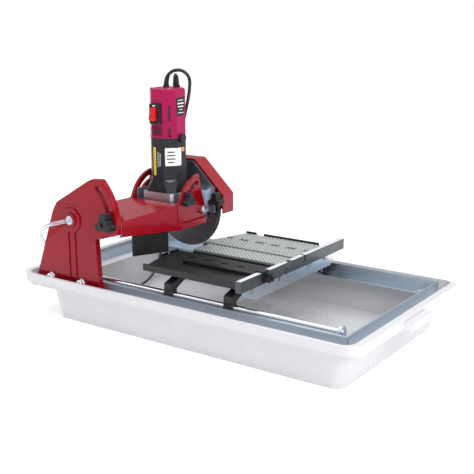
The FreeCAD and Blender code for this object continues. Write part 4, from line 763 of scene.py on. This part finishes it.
def make_labels():
    """Plain labels: no lettering, only bars."""
    black, bars = bmesh.new(), bmesh.new()
    slab(black, facet(90, 442, COVER_OUT, -2), 25, 37, LABEL_THICK, corner=1.5)
    for i, (wide, tall) in enumerate(((17, 1.5), (20, 2.6), (17, 2.6), (11, 1.5), (18, 1.5))):
        slab(bars, facet(90, 454.5 - 6.3 * i, COVER_OUT + LABEL_THICK, -1.5), wide, tall,
             0.06, corner=0.4, ease=0.02)
    for i in range(3):
        slab(bars, facet(0, 334, HOUSING_OUT, 0.5 + 3.4 * i), 0.9, 32 - 3 * i, 0.12,
             corner=0.3, ease=0.04)
    slab(bars, facet(0, 444.6, 44, 0.0), 7, 2.4, 0.2, corner=0.6, ease=0.05)
    finish_piece("label_black", black, "head", "black_plastic")
    finish_piece("label_bars", bars, "head", "tray_white", "label_white")
    yellow = bmesh.new()
    slab(yellow, facet(0, 330, HOUSING_OUT, YELLOW_LABEL_ACROSS), 6.2, 58, LABEL_THICK,
         corner=1.2)
    finish_piece("label_yellow", yellow, "head", "tray_white", "label_yellow")
    ink = bmesh.new()
    for i in range(9):
        slab(ink, facet(0, 306 + 6 * i, HOUSING_OUT + LABEL_THICK, YELLOW_LABEL_ACROSS),
             1.4, 3.6, 0.05, corner=0.3, ease=0.02)
    white = bmesh.new()
    slab(white, facet(45, WHITE_LABEL_HEIGHT, HOUSING_OUT, 2.0), 25, 37, LABEL_THICK,
         corner=1.6)
    slab(white, facet(90, WHITE_LABEL_HEIGHT, HOUSING_OUT, -8.0), 13, 37, LABEL_THICK,
         corner=1.6)
    finish_piece("label_white", white, "head", "tray_white", "label_white")
    for i, (wide, lift) in enumerate(((15, 350), (18, 343), (18, 336), (12, 329))):
        slab(ink, facet(45, lift, HOUSING_OUT + LABEL_THICK, 2.0), wide, 2.4, 0.05,
             corner=0.6, ease=0.02)
    finish_piece("label_ink", ink, "head", "black_paint")
    orange = bmesh.new()
    slab(orange, facet(90, 354, HOUSING_OUT, 4.5), 9, 9, LABEL_THICK, corner=0.8)
    finish_piece("label_orange", orange, "head", "tray_white", "label_orange")


def make_housing_vee():
    """The raised V low on the housing's corner side, grey as a painted highlight on its chamfer.
    """
    wedge = bmesh.new()
    place = facet(45, 290, HOUSING_OUT + 0.15)
    corners = [(-11.5, 2.5), (11.5, 2.5), (1.2, -5.5), (-1.2, -5.5)]
    rings = []
    for rise, inset in ((-0.4, 0.0), (0.5, 0.0), (0.9, 0.6)):
        rings.append([wedge.verts.new(spot_on(place, x * (1 - inset / 12), y - inset * 0.3,
                                              rise)) for x, y in corners])
    stitch(wedge, rings)
    finish_piece("housing_vee", wedge, "head", "black_plastic", "vee_grey")


# ---- screws, blade and cord ends -----------------------------------------------

TILT_SOCKET = (8.6, 2.4, 3.6)
POST_SOCKET = (8.2, 4.2, 3.0)
POST_BOLTS_X, POST_BOLTS_Y, POST_BOLTS_Z = (-322, -236), -217.6, 92
PIVOT_END = (-258, -215.8, 221)


def make_screws():
    """Domed sockets on the tilt bolts and the post's bolts, and the pivot tube's end ring."""
    pivots = bmesh.new()
    low, high = box_mm("tilt_bolts")
    middle = (low.y + high.y) / 2
    level = (low.z + high.z) / 2
    for x, right in ((high.x, 1), (low.x, -1)):
        socket_dome(pivots, local_frame((x, middle, level), (0, right, 0), (0, 0, 1)),
                    *TILT_SOCKET)
    finish_piece("pivot_sockets", pivots, "head", "steel")
    feet = bmesh.new()
    for x in POST_BOLTS_X:
        socket_dome(feet, local_frame((x, POST_BOLTS_Y, POST_BOLTS_Z), (1, 0, 0), (0, 0, 1)),
                    *POST_SOCKET)
    finish_piece("post_domes", feet, "base", "chrome_rail")
    ring = bmesh.new()
    turned_part(ring, local_frame(PIVOT_END, (1, 0, 0), (0, 0, 1)),
                [(6.4, 0), (8.9, 0), (9.2, 0.8), (8.4, 1.5), (6.8, 1.5), (6.3, 0.9)])
    finish_piece("hub_ring", ring, "base", "zinc_steel")


RIM_DEEP, RIM_HALF, RIM_EASE = 7.5, 1.25, 0.35


def make_blade_rim():
    """The blade's sintered rim, a little thicker than its core."""
    low, high = box_mm("blade")
    middle = (low + high) / 2
    radius = (high.x - low.x) / 2
    rim = bmesh.new()
    hub = local_frame((middle.x, middle.y, middle.z), (1, 0, 0), (0, 0, 1))
    flat = RIM_HALF - RIM_EASE
    profile = [(radius - RIM_DEEP, -RIM_HALF), (radius - RIM_EASE, -RIM_HALF),
               (radius, -flat), (radius, flat), (radius - RIM_EASE, RIM_HALF),
               (radius - RIM_DEEP, RIM_HALF)]
    turned_part(rim, hub, profile, steps=96, closed=True)
    finish_piece("blade_rim", rim, "spindle_body", "blade_steel", "rim_grit")


# name, the cord's route and diameter, and the boot's radius where it leaves the cover
RELIEFS = (("relief_mains", MAINS_HEAD, CORD, 5.6),
           ("relief_pump", PUMP_HEAD, PUMP_CORD, 4.8))
RELIEF_LONG, RELIEF_STEPS, RELIEF_RIB = 0.024, 60, 0.45


def make_reliefs():
    """Ribbed, tapered boots over the start of the cords."""
    for name, route, diameter, wide in RELIEFS:
        line = spline_line(route)
        start, run = [line[0]], 0.0
        for a, b in zip(line, line[1:]):
            run += (b - a).length
            start.append(b)
            if run > RELIEF_LONG:
                break
        slim = diameter / 2 / MM + 0.5

        def taper(share, wide=wide, slim=slim):
            rib = RELIEF_RIB * math.sin(share * math.pi * 13) if share < 0.92 else 0
            return (wide + (slim - wide) * share + rib) * MM

        even = []
        for i in range(RELIEF_STEPS + 1):
            where = i / RELIEF_STEPS * (len(start) - 1)
            k = min(int(where), len(start) - 2)
            even.append(start[k].lerp(start[k + 1], where - k))
        settle(tube_mesh(name, even, taper, sides=20), "head", "black_rubber")


# the plug's tail, and the size of its grip
TAIL_LONG, TAIL_RIBS, TAIL_PITCH = 20, 6, 2.6
GRIP_LONG, GRIP_WIDE, GRIP_TALL = 32, 24, 20


def make_plug():
    """The mains plug: a soft-edged grip with finger ribs, and plated pins."""
    low, high = box_mm("mains_plug")
    begin = low.x + TAIL_LONG
    middle = (low.y + high.y) / 2
    grip = bmesh.new()
    slab(grip, lid((begin + GRIP_LONG / 2, middle, low.z)), GRIP_LONG, GRIP_WIDE, GRIP_TALL,
         corner=5, ease=3)
    for i in range(4):
        slab(grip, lid((begin + 6 + 4 * i, middle, low.z + 19.4)), 1.4, 14, 0.6, corner=0.5,
             ease=0.2)
    tail = local_frame((low.x, middle, low.z + GRIP_TALL / 2), (0, 1, 0), (0, 0, 1))
    profile = [(4.0, 0)]
    for i in range(TAIL_RIBS):
        grown, along = 0.15 * i, TAIL_PITCH * i
        profile += [(4.1 + grown, along + 1.2), (4.7 + grown, along + 1.5),
                    (4.7 + grown, along + 2.6), (4.2 + grown, along + 2.9)]
    profile.append((5.0, 20.5))
    turned_part(grip, tail, profile, steps=20)
    body = finish_piece("plug_grip", grip, "base", "black_rubber")
    pins = bmesh.new()
    for side in (-6.3, 6.3):
        slab(pins, local_frame((begin + 40, middle + side - 0.8, low.z + 12), (1, 0, 0),
                               (0, 0, -1)), 16, 6, 1.6, corner=1.0)
    turned_part(pins, local_frame((begin + 31.5, middle, low.z + 5), (0, 1, 0), (0, 0, 1)),
                [(2.4, 0), (2.4, 16), (1.9, 18), (0.8, 18.5)], steps=18)
    blades = finish_piece("plug_pins", pins, "base", "steel", "chrome_rail")
    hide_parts("mains_plug")
    return [body, blades]


make_table_looks()
make_fence_looks()
make_motor_looks()
make_labels()
make_housing_vee()
make_screws()
make_blade_rim()
make_reliefs()
plug_pieces = make_plug()

# ---- cords, laid ---------------------------------------------------------------

hose = riding_cord("water_tube_skin", WATER_TUBE, HOSE, "base", "clear_vinyl",
                   "clear_vinyl", stiffness="medium", lay="hanging")
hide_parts("water_tube")
head_mains = riding_cord("mains_cord_on_head", MAINS_HEAD, CORD, "head",
                         stiffness="medium", lay="hanging")
head_pump = riding_cord("pump_cord_on_head", PUMP_HEAD, PUMP_CORD, "head",
                        stiffness="medium", lay="hanging")
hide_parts("cords_head")
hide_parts("cords_head")
# the start and end of the cords' stretch from the head to the arm, at the tilt
ARM_BEND = {"start": (-0.217, 0.0165, 0.235), "end": (-0.262, 0.0165, 0.235)}
arm_mains = bending_cord("mains_cord_on_arm", MAINS_ARM, CORD, ("head", "arm_body"),
                         **ARM_BEND, stiffness="medium", lay="loose")
arm_pump = bending_cord("pump_cord_on_arm", PUMP_ARM, PUMP_CORD, ("head", "arm_body"),
                        **ARM_BEND, stiffness="medium", lay="loose")
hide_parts("cords_arm")
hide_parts("cords_arm")
# and of their stretch from the arm to the base, at the plunge
BASE_BEND = {"start": (-0.278, 0.074, 0.2), "end": (-0.278, 0.150, 0.2)}
base_mains = bending_cord("mains_cord_on_base", MAINS_BASE + coil_points(), CORD,
                          ("arm_body", "base"), **BASE_BEND, stiffness="medium",
                          lay="coiled", far_end="plug", with_pieces=plug_pieces)
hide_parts("mains_cord", "mains_coil")
base_pump = bending_cord("pump_cord_on_base", PUMP_BASE, PUMP_CORD, ("arm_body", "base"),
                         **BASE_BEND, stiffness="medium", lay="hanging")
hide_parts("pump_cord")
